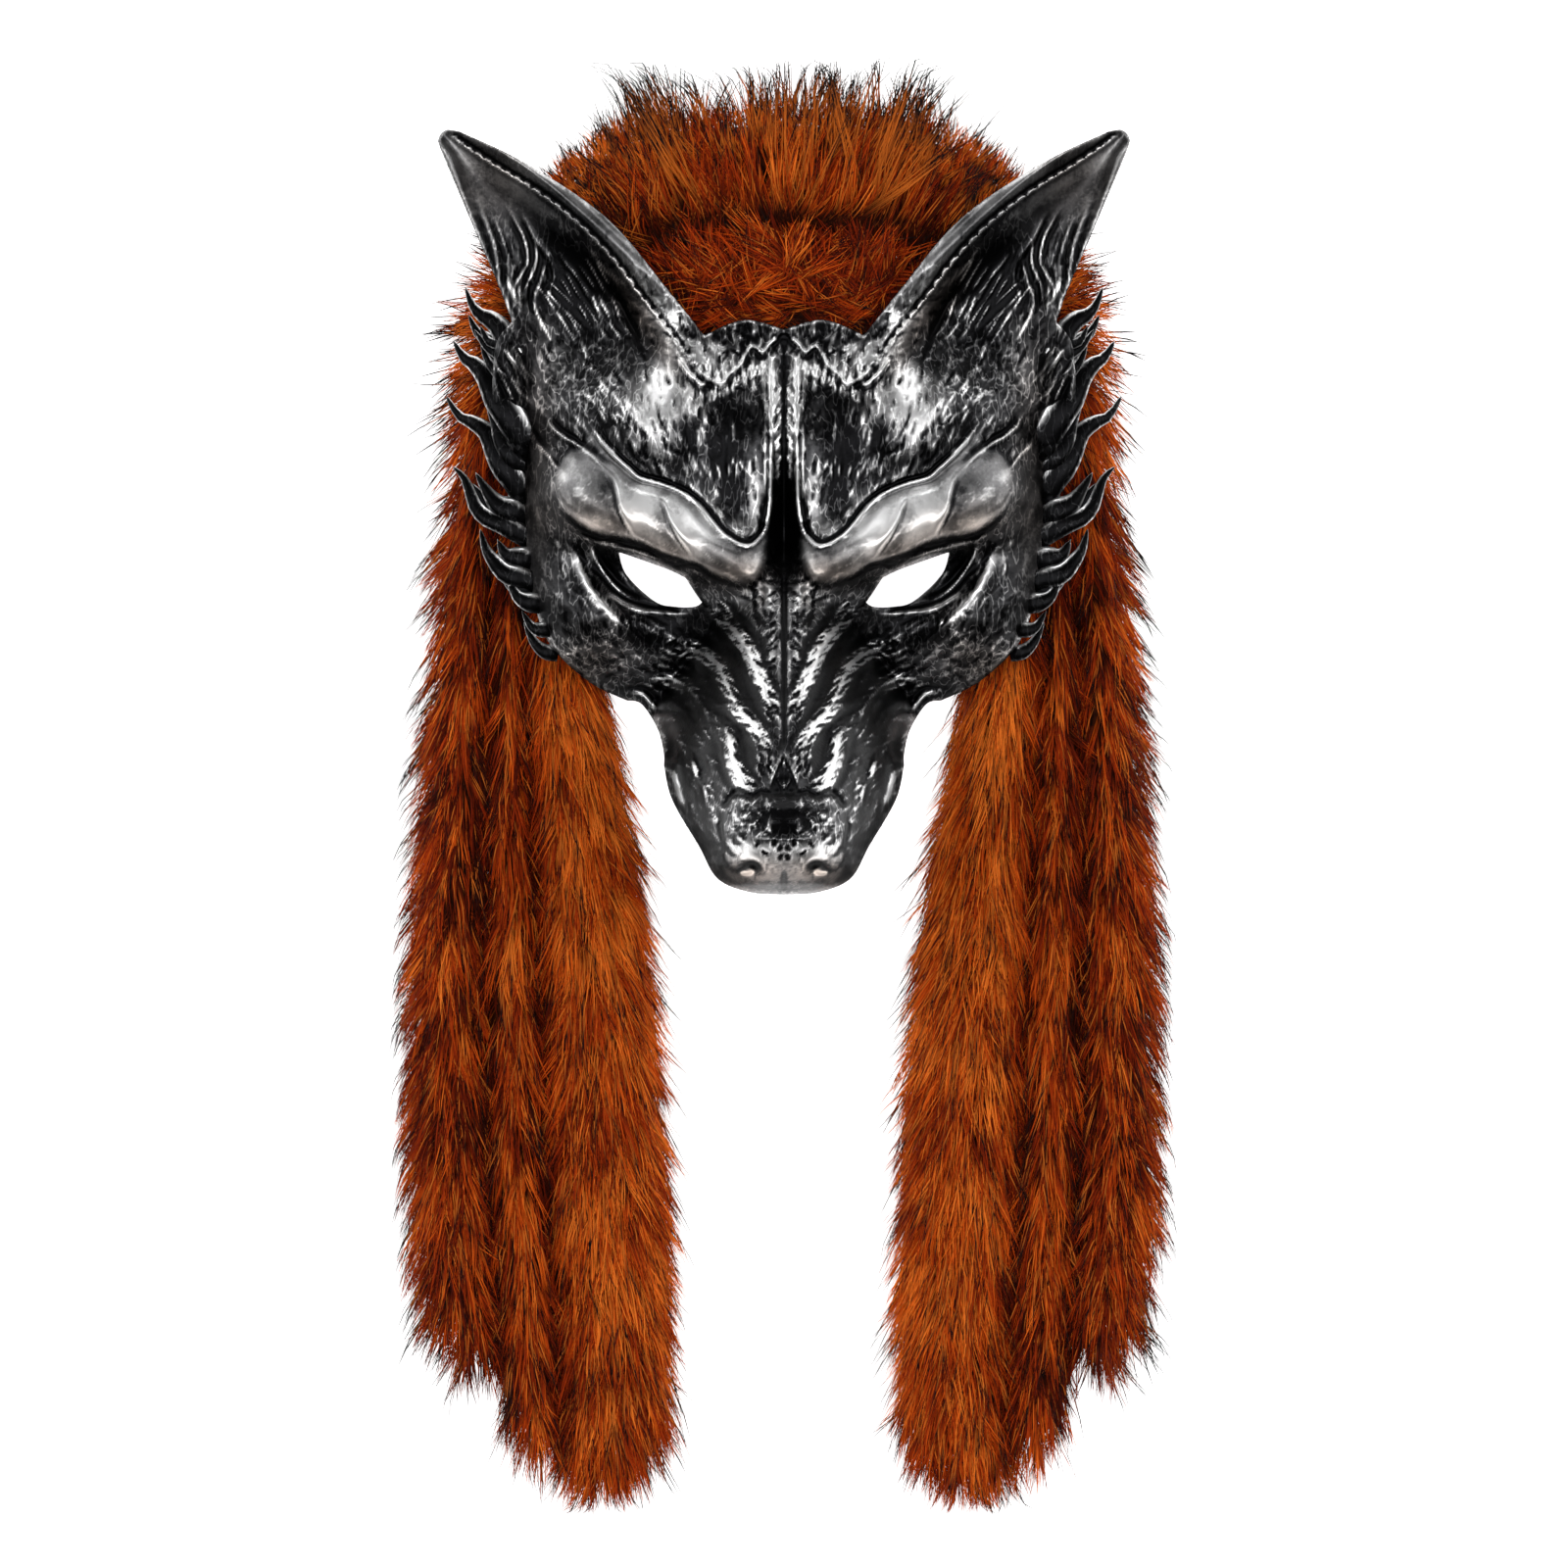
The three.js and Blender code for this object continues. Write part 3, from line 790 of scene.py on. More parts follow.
TEMPLE_STRANDS = (
    ((92.3, 59.3), (88.8, 55.7), (86.1, 52.1), (85.2, 48.5)),
    ((95, 52.1), (93.2, 46.7), (89.7, 41.3), (87, 37.7)),
    ((93.7, 57.5), (91.4, 52.1), (88.8, 48.5), (86.5, 44.9)),
    ((91.4, 34.1), (88.8, 29.6), (85.2, 25.1)),
    ((90.6, 80), (87.4, 74), (85.4, 68), (84.6, 62)),
    ((93, 74), (89.4, 67), (87, 60.5), (85.6, 54)),
    ((88.8, 102.4), (87, 95.2), (83.8, 92.5)),
    ((90, 24), (87, 19), (85, 13)),
)


@dataclass
class MaskRelief(Relief):
    """Everything that is moulded on the mask's surface, where its silver has come through, and where
    highlights are painted on it.
    """

    form: FaceForm
    brow_blur: float = 5.5  # how far the crest of each brow is smoothed out
    fine_hairs: int = 1900  # short hairs all over
    streak: Point = (1.3, 8.0)  # width and length of the faint streaks
    worm_size: float = 2.5
    crack_size: float = 2.8  # cells between the cracks on the nose
    combs: tuple[Comb, ...] = table(
        Comb,
        (6, 70, 10, 84), (14, 40, 12, 88), (24, 55, 10, 84), (26, 30, 8, 68), (44, 58, 12, 76),
        (48, 42, 8, 68), (60, 62, 12, 60), (60, 46, 8, 62), (40, 80, 8, 52), (52, 92, 9, 47),
        (66, 100, 9, 55), (70, 84, 9, 66), (84, 124, 9, 56), (94, 116, 8, 70), (84, 100, 8, 88),
        (100, 134, 9, 58), (76, 70, 8, 70), (86, 66, 9, 60), (86, 44, 9, 68), (80, 24, 8, 72), (74, 8, 8, 74),
        (70, 0, 9, 66), (62, 2, 6, 58), (56, -10, 7, 48), (66, -22, 9, 34), (54, -30, 8, 20),
        (30, 16, 10, 20), (50, 24, 12, 22), (12, 6, 7, 10), (3, -14, 5, 80), (8, -16, 6, 62),
        (14, -16, 6, 40), (26, -14, 8, 30), (20, -30, 8, 42), (34, -30, 9, 22), (5, -44, 5, 66),
        (14, -50, 7, 46), (26, -54, 8, 34), (36, -50, 6, 30), (30, -72, 7, 58), (22, -84, 7, 62),
        (10, -78, 8, 20), (12, -94, 7, 10),
    )
    brow_lobes: tuple[Swelling, ...] = table(
        Swelling,
        (64, 27, 11, 9, 0.45, 1.8), (46, 22, 10, 9, 0.5, 2), (27, 15, 11, 8.5, 0.5, 2),
        (12, 6, 9, 6, 0.1, 1.4),
    )
    nose_forms: tuple[Swelling, ...] = table(
        Swelling,
        # the wing of the nose pad, the rim over the nostril, the middle
        (12, -84, 8, 9, 0, 1.6), (11, -92, 6, 4, 0.2), (0, -86, 3.4, 10, 0, 0.6),
    )
    cheek_forms: tuple[Swelling, ...] = table(
        Swelling,
        # the edge of the cheek bone, and hollows beside the bridge
        (60, -4, 4, 15, -0.62, 1.6), (12, -50, 3.4, 6.5, -0.3, -2.6), (10.4, -34, 3.2, 9, -0.35, -2.2),
        (18, -20, 3.4, 8, -0.75, -1.8), (20, -56, 3.4, 9, -0.3, -1.6),
    )
    # Rubbed silver together with painted highlights: lighter spots on the brow, forehead, ear, muzzle, nose
    # and cheek bone.
    silver_and_highlight_spots: tuple[Swelling, ...] = table(
        Swelling,
        # brow
        (64, 25, 8, 7, 0.5, 0.08), (46, 25, 8, 8, 0.5, 0.62), (30, 19, 8, 8, 0.6, 0.62),
        (17, 7, 10, 6, 0.35, -0.1),
        # forehead
        (43, 56, 8.5, 12, 0, 0.8), (38, 67, 7, 8, 0, 0.5), (9.5, 31, 2.8, 14, 0, 0.55),
        (14, 19, 5, 3.5, 0, 0.45), (28, 60, 6, 9, 0, 0.45), (62, 68, 14, 12, 0.3, 0.2),
        (76, 78, 5, 14, 0, 0.25), (24, 27, 5, 6, 0, 0.3), (4.4, 70, 2, 12, 0, 0.75),
        (2.6, 50, 2.4, 13, 0, 0.22), (22, 75, 7, 6, 0, 0.45),
        # ear
        (37, 86, 5, 18, -0.67, 0.7), (54, 110, 4, 18, -0.72, 0.4), (78, 133, 4, 22, -0.98, 0.25),
        (106, 142, 8, 7, 0, 0.3), (99, 120, 5, 20, -0.45, 0.22), (90, 132, 9, 12, -0.8, 0.12),
        # muzzle and nose
        (15, -60, 3.4, 9, -0.35, 0.7), (8, -4, 6, 5, 0.2, 0.6), (3.6, -24, 2, 20, 0, 0.2),
        (17, -80, 4.5, 8, 0.1, 0.4), (8, -85, 10, 3.8, 0, 0.7), (8, -92, 12, 5, 0, 0.34),
        (36, -64, 2.6, 7, -0.3, 0.5),
        # cheek bone and temple
        (61, -1, 2.6, 15, -0.62, 0.62), (64, -22, 14, 9, -0.5, 0.22), (80, 20, 7, 26, 0, 0.14),
    )
    dark_spots: tuple[Swelling, ...] = table(
        Swelling,
        # forehead, and the slot between the brows
        (19, 42, 6, 17, 0, -0.45), (31, 49, 3, 5, 0, -0.7), (57, 53, 7, 6, 0.4, -0.25),
        (0, 18, 4, 14, 0, -0.9),
        # ear, and the shade under the fur's edge
        (68, 99, 10, 16, 0.3, -0.55), (60, 86, 8, 8, 0, -0.25), (47, 90, 3.5, 13, -0.62, -0.3),
        (18, 83.5, 24, 3, 0, -0.3),
        # eye
        (56, 6, 5, 7, 0.5, -0.5), (46, -14, 13, 5, -0.2, -0.25),
        # muzzle and nose
        (11.6, -53, 3.2, 5, -0.2, -0.9), (10, -34, 2.6, 7, -0.35, -0.8), (17, -34, 2.2, 7, -0.7, -0.6),
        (29, -42, 9, 10, 0, -0.2), (33, -56, 8, 22, 0.25, -0.52), (24, -82, 4, 14, -0.3, -0.3),
        (0, -73.5, 6, 4.2, 0, -0.6),
        # temple
        (89, 52, 6, 28, 0, -0.22),
    )
    nose_flecks: tuple[Path, ...] = (
        ((0.6, -83.4), (1.6, -84.6), (2.8, -84.4)), ((0.5, -86.2), (1.4, -87.4), (1.2, -88.6)),
        ((2.8, -81.6), (3.4, -82.8), (2.9, -84)), ((4.6, -86.6), (6.2, -86), (7.6, -84.6)),
        ((16.4, -80.6), (15.2, -82.6), (13.2, -83.6)), ((18.4, -83.4), (17.2, -86.2), (14.6, -87.4)),
        ((20, -86.4), (19.2, -89), (17.6, -90.8)), ((7, -82.4), (8.6, -83.2), (9.4, -84.8)),
        ((11.6, -79.4), (12.8, -80.6), (12.2, -82.2)),
    )
    warm_spots: tuple[Swelling, ...] = table(
        Swelling,
        (60, 20, 16, 6, 0.2, 0.9), (36, 11, 12, 5, 0.35, 0.8), (16, 4, 11, 5, 0, 0.9), (50, 92, 4, 20, -0.62),
        (10, -93, 16, 5), (64, -24, 14, 9, -0.5, 0.7), (82, 40, 7, 40, 0, 0.6), (94, 132, 14, 10, 0.9, 0.5),
    )
    smooth_spots: tuple[Swelling, ...] = table(  # no hair strokes
        Swelling,
        (99, 136, 16, 9, 0.9, 1.1), (84, 126, 9, 9, 0.8, 0.8), (101, 124, 4, 12, -0.4, 0.7),
        (46, 90, 3.5, 16, -0.62, 0.9), (60, 118, 5, 24, -0.85, 0.9), (10, -92, 16, 6, 0, 1.1),
        (81.5, 12, 4.5, 27, 0, 0.9), (42, 58, 7, 10, 0, 0.4), (67, 98, 9, 10, 0.4, 0.45),
        (46, -4, 20, 4.5, 0.45, 0.6),
    )
    worm_spots: tuple[Swelling, ...] = table(  # a fine network of lines
        Swelling,
        (62, 69, 13, 12, 0.2), (64, -22, 14, 9, -0.5, 0.35), (40, 90, 5, 16, -0.67, 0.5),
        (24, 76, 8, 7, 0, 0.25), (100, 120, 5, 14, -0.4, 0.4), (17, -80, 5, 8, 0, 0.5),
    )
    patches: tuple[HairPatch, ...] = tuple(HairPatch(Swelling(*spot), *rest) for spot, *rest in (
        ((20, 42, 6, 17), 0.28, (3, 8), 0.46, 0.5, 0.85, 0.07),  # forehead
        ((9.5, 32, 3, 14), 0.4, (2, 6), 0.44, -0.45, -0.65, 0.08),
        ((30, 39, 7, 8, 0.3), 0.4, (3, 7), 0.46, 0.5, 0.6, 0.1),
        ((57, 54, 7, 6, 0.4), 0.5, (3, 6), 0.44, 0.5, 0.75, 0.06),
        ((46, 47, 8, 6, 0.4), 0.4, (3, 8), 0.46, -0.5, -0.8, 0.1),
        ((43, 56, 9, 13), 0.3, (2, 6), 0.44, -0.4, -0.62, 0.25),
        ((28, 60, 6, 8), 0.4, (2, 6), 0.46, -0.45, -0.6, 0.15),
        ((22, 75, 8, 6), 0.4, (2, 5), 0.46, -0.5, -0.7, 0.6),
        ((10, 72, 7, 8), 0.4, (2, 6), 0.46, 0.5, 0.5, 0.4),
        ((12, 84, 13, 3.5), 0.4, (2, 6), 0.46, 0.5, 0.6, 0.4),
        ((2.5, 62, 2.5, 20), 0.4, (2, 5), 0.44, -0.45, -0.5, 0.35),
        ((66, 97, 8, 13, 0.4), 0.16, (10, 22), 0.42, 0.5, 1, 0.05),  # ear
        ((58, 84, 9, 7, 0.4), 0.3, (4, 9), 0.42, 0.5, 0.6, 0.2),
        ((90, 108, 6, 15, -0.3), 0.18, (6, 15), 0.44, 0.4, 0.24, 0.12),
        ((90, 108, 6, 15, -0.3), 0.3, (6, 15), 0.46, -0.5, -0.3, 0.12),
        ((39, 86, 4, 15, -0.67), 0.3, (1.5, 4), 0.46, 0.4, 0.45, 0.7),
        ((39, 86, 4, 15, -0.67), 0.4, (1.5, 4), 0.46, -0.45, -0.7, 0.7),
        ((88, 66, 5, 26), 0.3, (9, 20), 0.55, 0.7, 0.42, 0.1),  # temple
        ((88, 66, 5, 26), 0.4, (9, 20), 0.6, -0.8, -0.35, 0.1),
        ((77, 80, 4, 10), 0.3, (3, 7), 0.46, -0.5, -0.6, 0.35),
        ((60, -1, 3.5, 14, -0.62), 0.4, (3, 8), 0.46, -0.5, -0.8, 0.1),  # cheek
        ((56, -6, 6, 11, -0.62), 0.3, (3, 8), 0.44, 0.5, 0.5, 0.12),
        ((64, -22, 14, 9, -0.5), 0.3, (2, 6), 0.44, 0.3, 0.2, 0.5),
        ((64, -22, 14, 9, -0.5), 0.45, (2, 6), 0.44, -0.35, -0.3, 0.5),
        ((46, -16, 10, 7, -0.3), 0.3, (3, 8), 0.44, 0.35, 0.35, 0.3),
        ((6, -8, 5, 9), 0.4, (2, 5), 0.46, -0.5, -0.75, 0.4),  # bridge
        ((4.5, -30, 2.5, 20), 0.3, (2, 5), 0.44, 0.4, 0.45, 0.3),
        ((14.5, -19, 3, 12, -0.62), 0.34, (3, 7), 0.46, -0.6, -1, 0.25),  # snarl
        ((24, -25, 3.5, 12, -0.8), 0.4, (3, 7), 0.46, -0.6, -0.95, 0.25),
        ((11, -43, 3.5, 11, -0.6), 0.32, (2, 6), 0.46, -0.5, -0.9, 0.2),
        ((28, -36, 9, 10, -0.4), 0.45, (3, 7), 0.44, 0.45, 0.5, 0.3),
        ((28, -36, 9, 10, -0.4), 0.35, (3, 7), 0.44, -0.45, -0.5, 0.3),
        ((33, -52, 6, 12), 0.45, (2, 6), 0.44, 0.4, 0.36, 0.3),
        ((24, -62, 8, 12), 0.35, (3, 8), 0.44, 0.4, 0.45, 0.2),
        ((15, -60, 4.5, 8, -0.3), 0.4, (3, 8), 0.46, -0.6, -0.95, 0.12),
        ((17, -80, 4, 8), 0.22, (0.8, 2), 0.5, -0.5, -0.9, 1),  # nose
        ((8, -92, 12, 5), 0.2, (0.8, 2.5), 0.45, -0.3, -0.6, 1.2),
    ))

    def build(self) -> None:
        """Work out the whole relief: its height, rubbed silver with painted highlights, and warm tone."""
        self.build_brow()
        self.build_eye()
        self.build_forehead()
        self.build_temple()
        self.build_ear()
        self.build_muzzle()
        self.build_nose()
        self.comb_hair()
        self.add(self.rub_and_highlight, self.silver_and_highlight_spots + self.dark_spots)
        self.add(self.warm, self.warm_spots)

    def build_brow(self) -> None:
        """The brow: a body of overlapping lobes under a bright rim line."""
        front = self.form.front(self.grid.x, self.grid.y)
        rounder = soften(front, self.brow_blur / self.grid.step) - front
        self.raise_region(BROW_BODY, 2.2 + rounder, 5.0, 0.10, 0.0)
        self.raise_region(BROW_BODY, 0.0, 2.0, 0.24, 1.0)
        self.draw(Stroke(BROW_LOW, 3, 0, 0.16, -3.6, Taper.NONE))
        smudge = self.grid.noise(self.rng, 3.5)
        scratch = bell(self.grid.noise(self.rng, 4.0) / 0.09)
        self.rub_and_highlight += (0.07 * smudge + 0.22 * scratch) * self.calm
        self.height += 0.12 * scratch * self.calm
        self.add(self.height, self.brow_lobes)
        rim, rail = BROW_RIM[:15], BROW_RIM[14:]
        self.draw(
            Stroke(rim, 0.55, 1.2, 0.7, 0, Taper.START), Stroke(rim[:6], 0.9, 0.7, 0.6),
            Stroke(rim, 0.65, -1.3, -0.7, -1.5, Taper.START), Stroke(rail, 0.55, 1.2, 0.8, 0, Taper.NONE),
            Stroke(BROW_RIM[10:17], 0.6, 0.5, 0.7), Stroke(rail[:3], 0.65, -1.2, -0.7, -1.5, Taper.END),
            Stroke(BROW_SECOND, 0.55, 0.9, 0.45), Stroke(BROW_SECOND, 1, -1.2, -0.5, -1.7),
            Stroke(BROW_THIRD, 0.5, 0.8, 0.4),
        )
        for crease in BROW_CREASES:
            self.draw(
                Stroke(crease, 0.6, -1, -0.45), Stroke(crease, 1.6, 0.8, 0.14, -2),
                Stroke(crease, 2.4, -0.6, -0.24, 2.2),
            )
        self.draw(Stroke(BROW_LOW, 0.8, -1.2, -0.5, 0.7))

    def build_eye(self) -> None:
        """The lids around the eye opening and the edge of the cheek bone."""
        self.draw(
            Stroke(LOWER_LID, 0.5, 1, 0.75), Stroke(LOWER_LID, 1, -1.2, -0.5, -1.7),
            Stroke(OUTER_LID, 0.65, 1, 0.6), Stroke(OUTER_LID, 0.9, -1, -0.4, -1.8),
            Stroke(UPPER_LID, 1, 1.1, 0.25), Stroke(UPPER_LID, 0.7, -0.9, -0.5, -1.6),
            Stroke(CHEEK_BONE, 1.7, 1.1, 0.45),
        )
        self.feather(CHEEK_BONE, 1.9, 5.0, 20, 0.42, -0.5, -0.7, -0.8)

    def build_forehead(self) -> None:
        """The middle channel with its rails, and the jagged tufts along the forehead's edge."""
        middle = ((0, 82), (0, 60), (0, 34), (0, 8))
        self.draw(Stroke(middle, 0.8, -0.9, -0.45, 0, Taper.NONE))
        rail = ((6, 66), (6, 50), (6.2, 32), (6.8, 22))
        self.draw(
            Stroke(rail, 0.5, 0.7, 0.5), Stroke(FOREHEAD_JAG, 0.6, 0.9, 0.45, 0, Taper.NONE, 2),
            Stroke(FOREHEAD_JAG, 1, -1, -0.35, 1.8, Taper.NONE, 2), Stroke(EAR_HOOK, 0.6, 0.9, 0.5),
            Stroke(EAR_HOOK, 1, -0.7, -0.3, 1.8),
        )
        self.feather(((2.1, 66.0), (2.0, 50.0), (1.8, 34.0)), 3.0, 5.4, 22, 0.42, 0.6, 0.85)
        fringe = ((25, 62), (18, 65), (12, 69.5), (6.5, 70.5))
        self.feather(fringe, 1.5, 6.0, -65, 0.4, 0.5, 0.8)
        for number in range(7):
            foot = 3.2 + 3.1 * number
            tuft = ((foot, 64 - 1.5 * number % 4), (foot + 0.8, 71), (foot + 0.3 * number, 77))
            self.draw(Stroke(tuft, 0.6, 0.7, 0.4))

    def build_temple(self) -> None:
        """Black strands with bright edges, from which the side locks grow."""
        for strand in TEMPLE_STRANDS:
            self.draw(
                Stroke(strand, 1.3, 1.2, -0.3), Stroke(strand, 0.45, 0.3, 0.9, 1.3),
                Stroke(strand, 0.45, 0.3, 0.5, -1.4),
            )

    def build_ear(self) -> None:
        """The ear: a bright crest with dark dashes behind it, the soft flap in front, and wavy curls."""
        self.draw(
            Stroke(EAR_CREST, 0.5, 0.9, 0.5, 0, Taper.NONE),
            Stroke(EAR_CREST, 2.6, 0.5, 0.22, 3.6, Taper.START),
        )
        for number in range(26):
            first, last = 0.04 + 0.036 * number, 0.058 + 0.036 * number
            dash = spline_at(np.asarray(EAR_CREST, float), np.array([first, last]) * (len(EAR_CREST) - 1))
            self.draw(Stroke(tuple(map(tuple, dash)), 0.5, -0.7, -0.6, -1.3, Taper.NONE, 1))
        self.draw(Stroke(EAR_FLAP, 1.1, -1.2, -0.5, 3.6))
        for path, rub_and_highlight in (EAR_HOLLOW, 0.85), (EAR_FOOT, 0.60):
            self.feather(path, 2.5, 14, 80, 0.34, 0.6, rub_and_highlight, 0)
        for number, curl in enumerate(EAR_CURLS):
            self.draw(
                Stroke(curl, 0.5, 0.7, 0.34 if number in (2, 3) else 0.16),
                Stroke(curl, 0.8, -0.7, -0.3, 1.4),
            )

    def build_muzzle(self) -> None:
        """The bridge, the snarl ridges and the leaf between them."""
        self.add(self.height, self.cheek_forms)
        bridge = ((0, 2), (0, -16), (0, -34), (0, -51))
        self.draw(Stroke(bridge, 0.7, -1.3, -0.9, 0, Taper.NONE))
        rail = ((1.7, 0), (1.6, -16), (1.6, -32), (1.7, -46))
        self.draw(Stroke(rail, 0.5, 0.5, 0.05))
        for path, width, rub_and_highlight in (
            (SNARL_ONE, 2.0, 1.25), (SNARL_TWO, 1.9, 1.10), (SNARL_THREE, 1.6, 0.80), (SNARL_FOUR, 1.3, 0.40),
            (SNARL_FIVE, 1.4, 0.40),
        ):
            self.draw(Stroke(path, width, 1.9, rub_and_highlight))
            for offset in (-4.0, 4.0):
                self.draw(Stroke(path, 1.5, -1, -0.4, offset))
            for offset in (-1.6, 1.3):
                self.feather(path, 2.6, 4.6, -28, 0.42, -0.7, -0.95, offset)
            for offset in (-2.2, 2.0):
                self.feather(path, 1.7, 4.2, -28, 0.42, 0.4, 0.55, offset)
        for path, width in ((MUZZLE_HOLLOW, 1.9), (LIP_HOLLOW, 1.4)):
            self.draw(Stroke(path, width, -1.2, -0.45))
            self.feather(path, 2.2, 4.4, -30, 0.4, 0.4, 0.42, 2.6)
            self.feather(path, 2.2, 4.4, -30, 0.4, 0.4, 0.42, -2.6)
        self.draw(
            Stroke(LIP_CURL, 1.1, 1.4, 0.85), Stroke(NOTCH_CURL, 0.7, 1.2, 0.7),
            Stroke(NOTCH_CURL, 1, -1, -0.4, -2),
        )
        self.feather(rail, 3.0, 4.4, -125, 0.45, -0.5, -0.55, 2.2)
        self.feather(rail, 3.0, 4.0, -125, 0.42, 0.4, 0.25, 2.8)
        self.feather(((10.5, 1.0), (9.0, -8.0), (8.0, -14.0)), 1.8, 4.0, -20, 0.45, -0.5, -0.8)
        pit = ((0, -53.5), (5, -65.6), (0, -66.4))
        self.raise_region(pit, -1.4, 1.2, -0.5)
        self.draw(Stroke(TRIANGLE, 0.5, 0.7, 0.25), Stroke(LEAF, 0.42, 0.9, 0.4, 0, Taper.NONE))

    def build_nose(self) -> None:
        """The nose pad with its cracked top, wings and nostrils."""
        self.add(self.height, self.nose_forms)
        self.draw(
            Stroke(NOSE_EDGE, 0.9, -1.7, -0.7, 0, Taper.NONE, 2), Stroke(NOSE_WING, 0.8, -1.2, -0.5, 0.9),
            Stroke(NOSTRIL, 1.15, -2.4, -1), Stroke(NOSTRIL_RIM, 1.2, 0.5, 0.05),
            Stroke(NOSE_CRESCENT, 0.6, 0.9, 1.4),
        )
        philtrum = ((0, -91), (0, -94), (0, -97.5))
        self.draw(Stroke(philtrum, 0.7, -1.1, -0.8, 0, Taper.START))
        for fleck in self.nose_flecks:
            self.draw(Stroke(fleck, 0.48, -0.8, -1))

    def comb_hair(self) -> None:
        """Hair strokes that follow the face, with the cracks and worm lines between them."""
        grid = self.grid
        flow = self.flow(self.combs)
        smooth = self.calm = np.maximum(self.calm, self.share_of(self.smooth_spots))
        for patch in self.patches:
            density = patch.spot.height(grid.x, grid.y) ** 0.7
            hairs = self.hairs(flow, density, patch.count, patch.length, patch.width, patch.wander)
            self.height += patch.height * hairs * (1 - 0.8 * smooth)
            self.rub_and_highlight += patch.rub_and_highlight * hairs * (1 - 0.8 * smooth)
        fine = self.hairs(flow, 1.02 - smooth, self.fine_hairs, (2.5, 7.0), 0.5, 0.25)
        streaks = self.brush(flow, *self.streak)
        self.height += (0.22 * fine + 0.04 * streaks) * (1 - 0.85 * smooth)
        self.rub_and_highlight += (0.16 * (fine - 0.2) + 0.03 * streaks) * (1 - 0.7 * smooth)
        worms = bell(grid.noise(self.rng, self.worm_size) / 0.34)
        where = self.share_of(self.worm_spots)
        self.height += 0.40 * worms * where
        self.rub_and_highlight += 0.42 * (worms - 0.32) * where
        cracks = bell(grid.noise(self.rng, self.crack_size) / 0.20)
        nose = np.clip(1.6 * Swelling(0, -75.5, 13, 7.5).height(grid.x, grid.y), 0, 1)
        nose *= 1 - 0.7 * bell(grid.x / 5.5)
        self.height += 0.9 * cracks * nose
        self.rub_and_highlight += 0.95 * (cracks - 0.22) * nose
        front = Swelling(11, -88.5, 11, 6.5).height(grid.x, grid.y)
        self.height -= 0.35 * worms * front
        self.rub_and_highlight -= 0.42 * (worms - 0.30) * front

    def share_of(self, spots: Iterable[Swelling]) -> Array:
        """Share by which each place belongs to the spots."""
        return np.clip(sum(spot.height(self.grid.x, self.grid.y) for spot in spots), 0, 1)


# Meshes


@dataclass
class Parcel:
    """Vertices, faces and values of a mesh being put together."""

    points: Array
    faces: list[Face]
    values: dict[str, Array]
    uv: Array

    def joined(self, other: "Parcel") -> "Parcel":
        """Join another parcel to this one.

        Args:
            other: The other parcel, with the same values.

        Returns:
            Both as a single parcel.
        """
        shift = len(self.points)
        faces = list(self.faces) + [tuple(index + shift for index in face) for face in other.faces]
        values = {key: np.concatenate([self.values[key], other.values[key]]) for key in self.values}
        return Parcel(np.vstack([self.points, other.points]), faces, values, np.vstack([self.uv, other.uv]))


def tube_faces(rings: int, sides: int) -> list[Face]:
    """Join rings of points to a tube, which the two last points close.

    Args:
        rings: Number of steps from ring to ring.
        sides: Points of a ring.

    Returns:
        The tube's faces.
    """
    faces: list[Face] = []
    for a in range(rings * sides):
        b = a - a % sides + (a + 1) % sides
        faces.append((a, b, b + sides, a + sides))
    last = rings * sides
    for number in range(sides):
        follow = (number + 1) % sides
        faces.append((last + sides, follow, number))
        faces.append((last + sides + 1, last + number, last + follow))
    return faces


def frame_points(points: Array) -> Array:
    """Points in millimetres over the eye line as metres in the frame."""
    return (points + np.array([0.0, EYE_LINE_Y, 0.0])) * MM


def joined_corners(faces: Sequence[Face]) -> tuple[Array, Array]:
    """Corners of all faces, one after the other, and how many each face has."""
    return np.concatenate([np.asarray(face) for face in faces]), np.array([len(face) for face in faces])


def make_object(
    name: str, points: Array, corners: Array, counts: Array, values: dict[str, Array], uv: Array
) -> bpy.types.Object:
    """Make a mesh object from arrays, shaded smooth.

    Args:
        name: Name of the object and its mesh.
        points: Vertices in metres.
        corners: Vertex numbers of all faces, one after the other.
        counts: Number of corners of each face.
        values: One number for each vertex, under the name of its attribute.
        uv: Place of each vertex in the baked picture.

    Returns:
        The linked object.
    """
    mesh = bpy.data.meshes.new(name)
    mesh.vertices.add(len(points))
    mesh.vertices.foreach_set("co", np.ascontiguousarray(points, np.float32).ravel())
    mesh.loops.add(len(corners))
    mesh.loops.foreach_set("vertex_index", np.ascontiguousarray(corners, np.int32))
    mesh.polygons.add(len(counts))
    starts = np.concatenate([[0], np.cumsum(counts)[:-1]]).astype(np.int32)
    mesh.polygons.foreach_set("loop_start", starts)
    mesh.polygons.foreach_set("loop_total", np.ascontiguousarray(counts, np.int32))
    mesh.polygons.foreach_set("use_smooth", np.full(len(counts), True))
    layer = mesh.uv_layers.new(name="OFBake")
    layer.data.foreach_set("uv", np.ascontiguousarray(uv[corners], np.float32).ravel())
    for key, numbers in values.items():
        attribute = mesh.attributes.new(key, "FLOAT", "POINT")
        attribute.data.foreach_set("value", np.ascontiguousarray(numbers, np.float32))
    mesh.update(calc_edges=True)
    mesh.validate()
    return add_object(name, mesh)


# Finishes


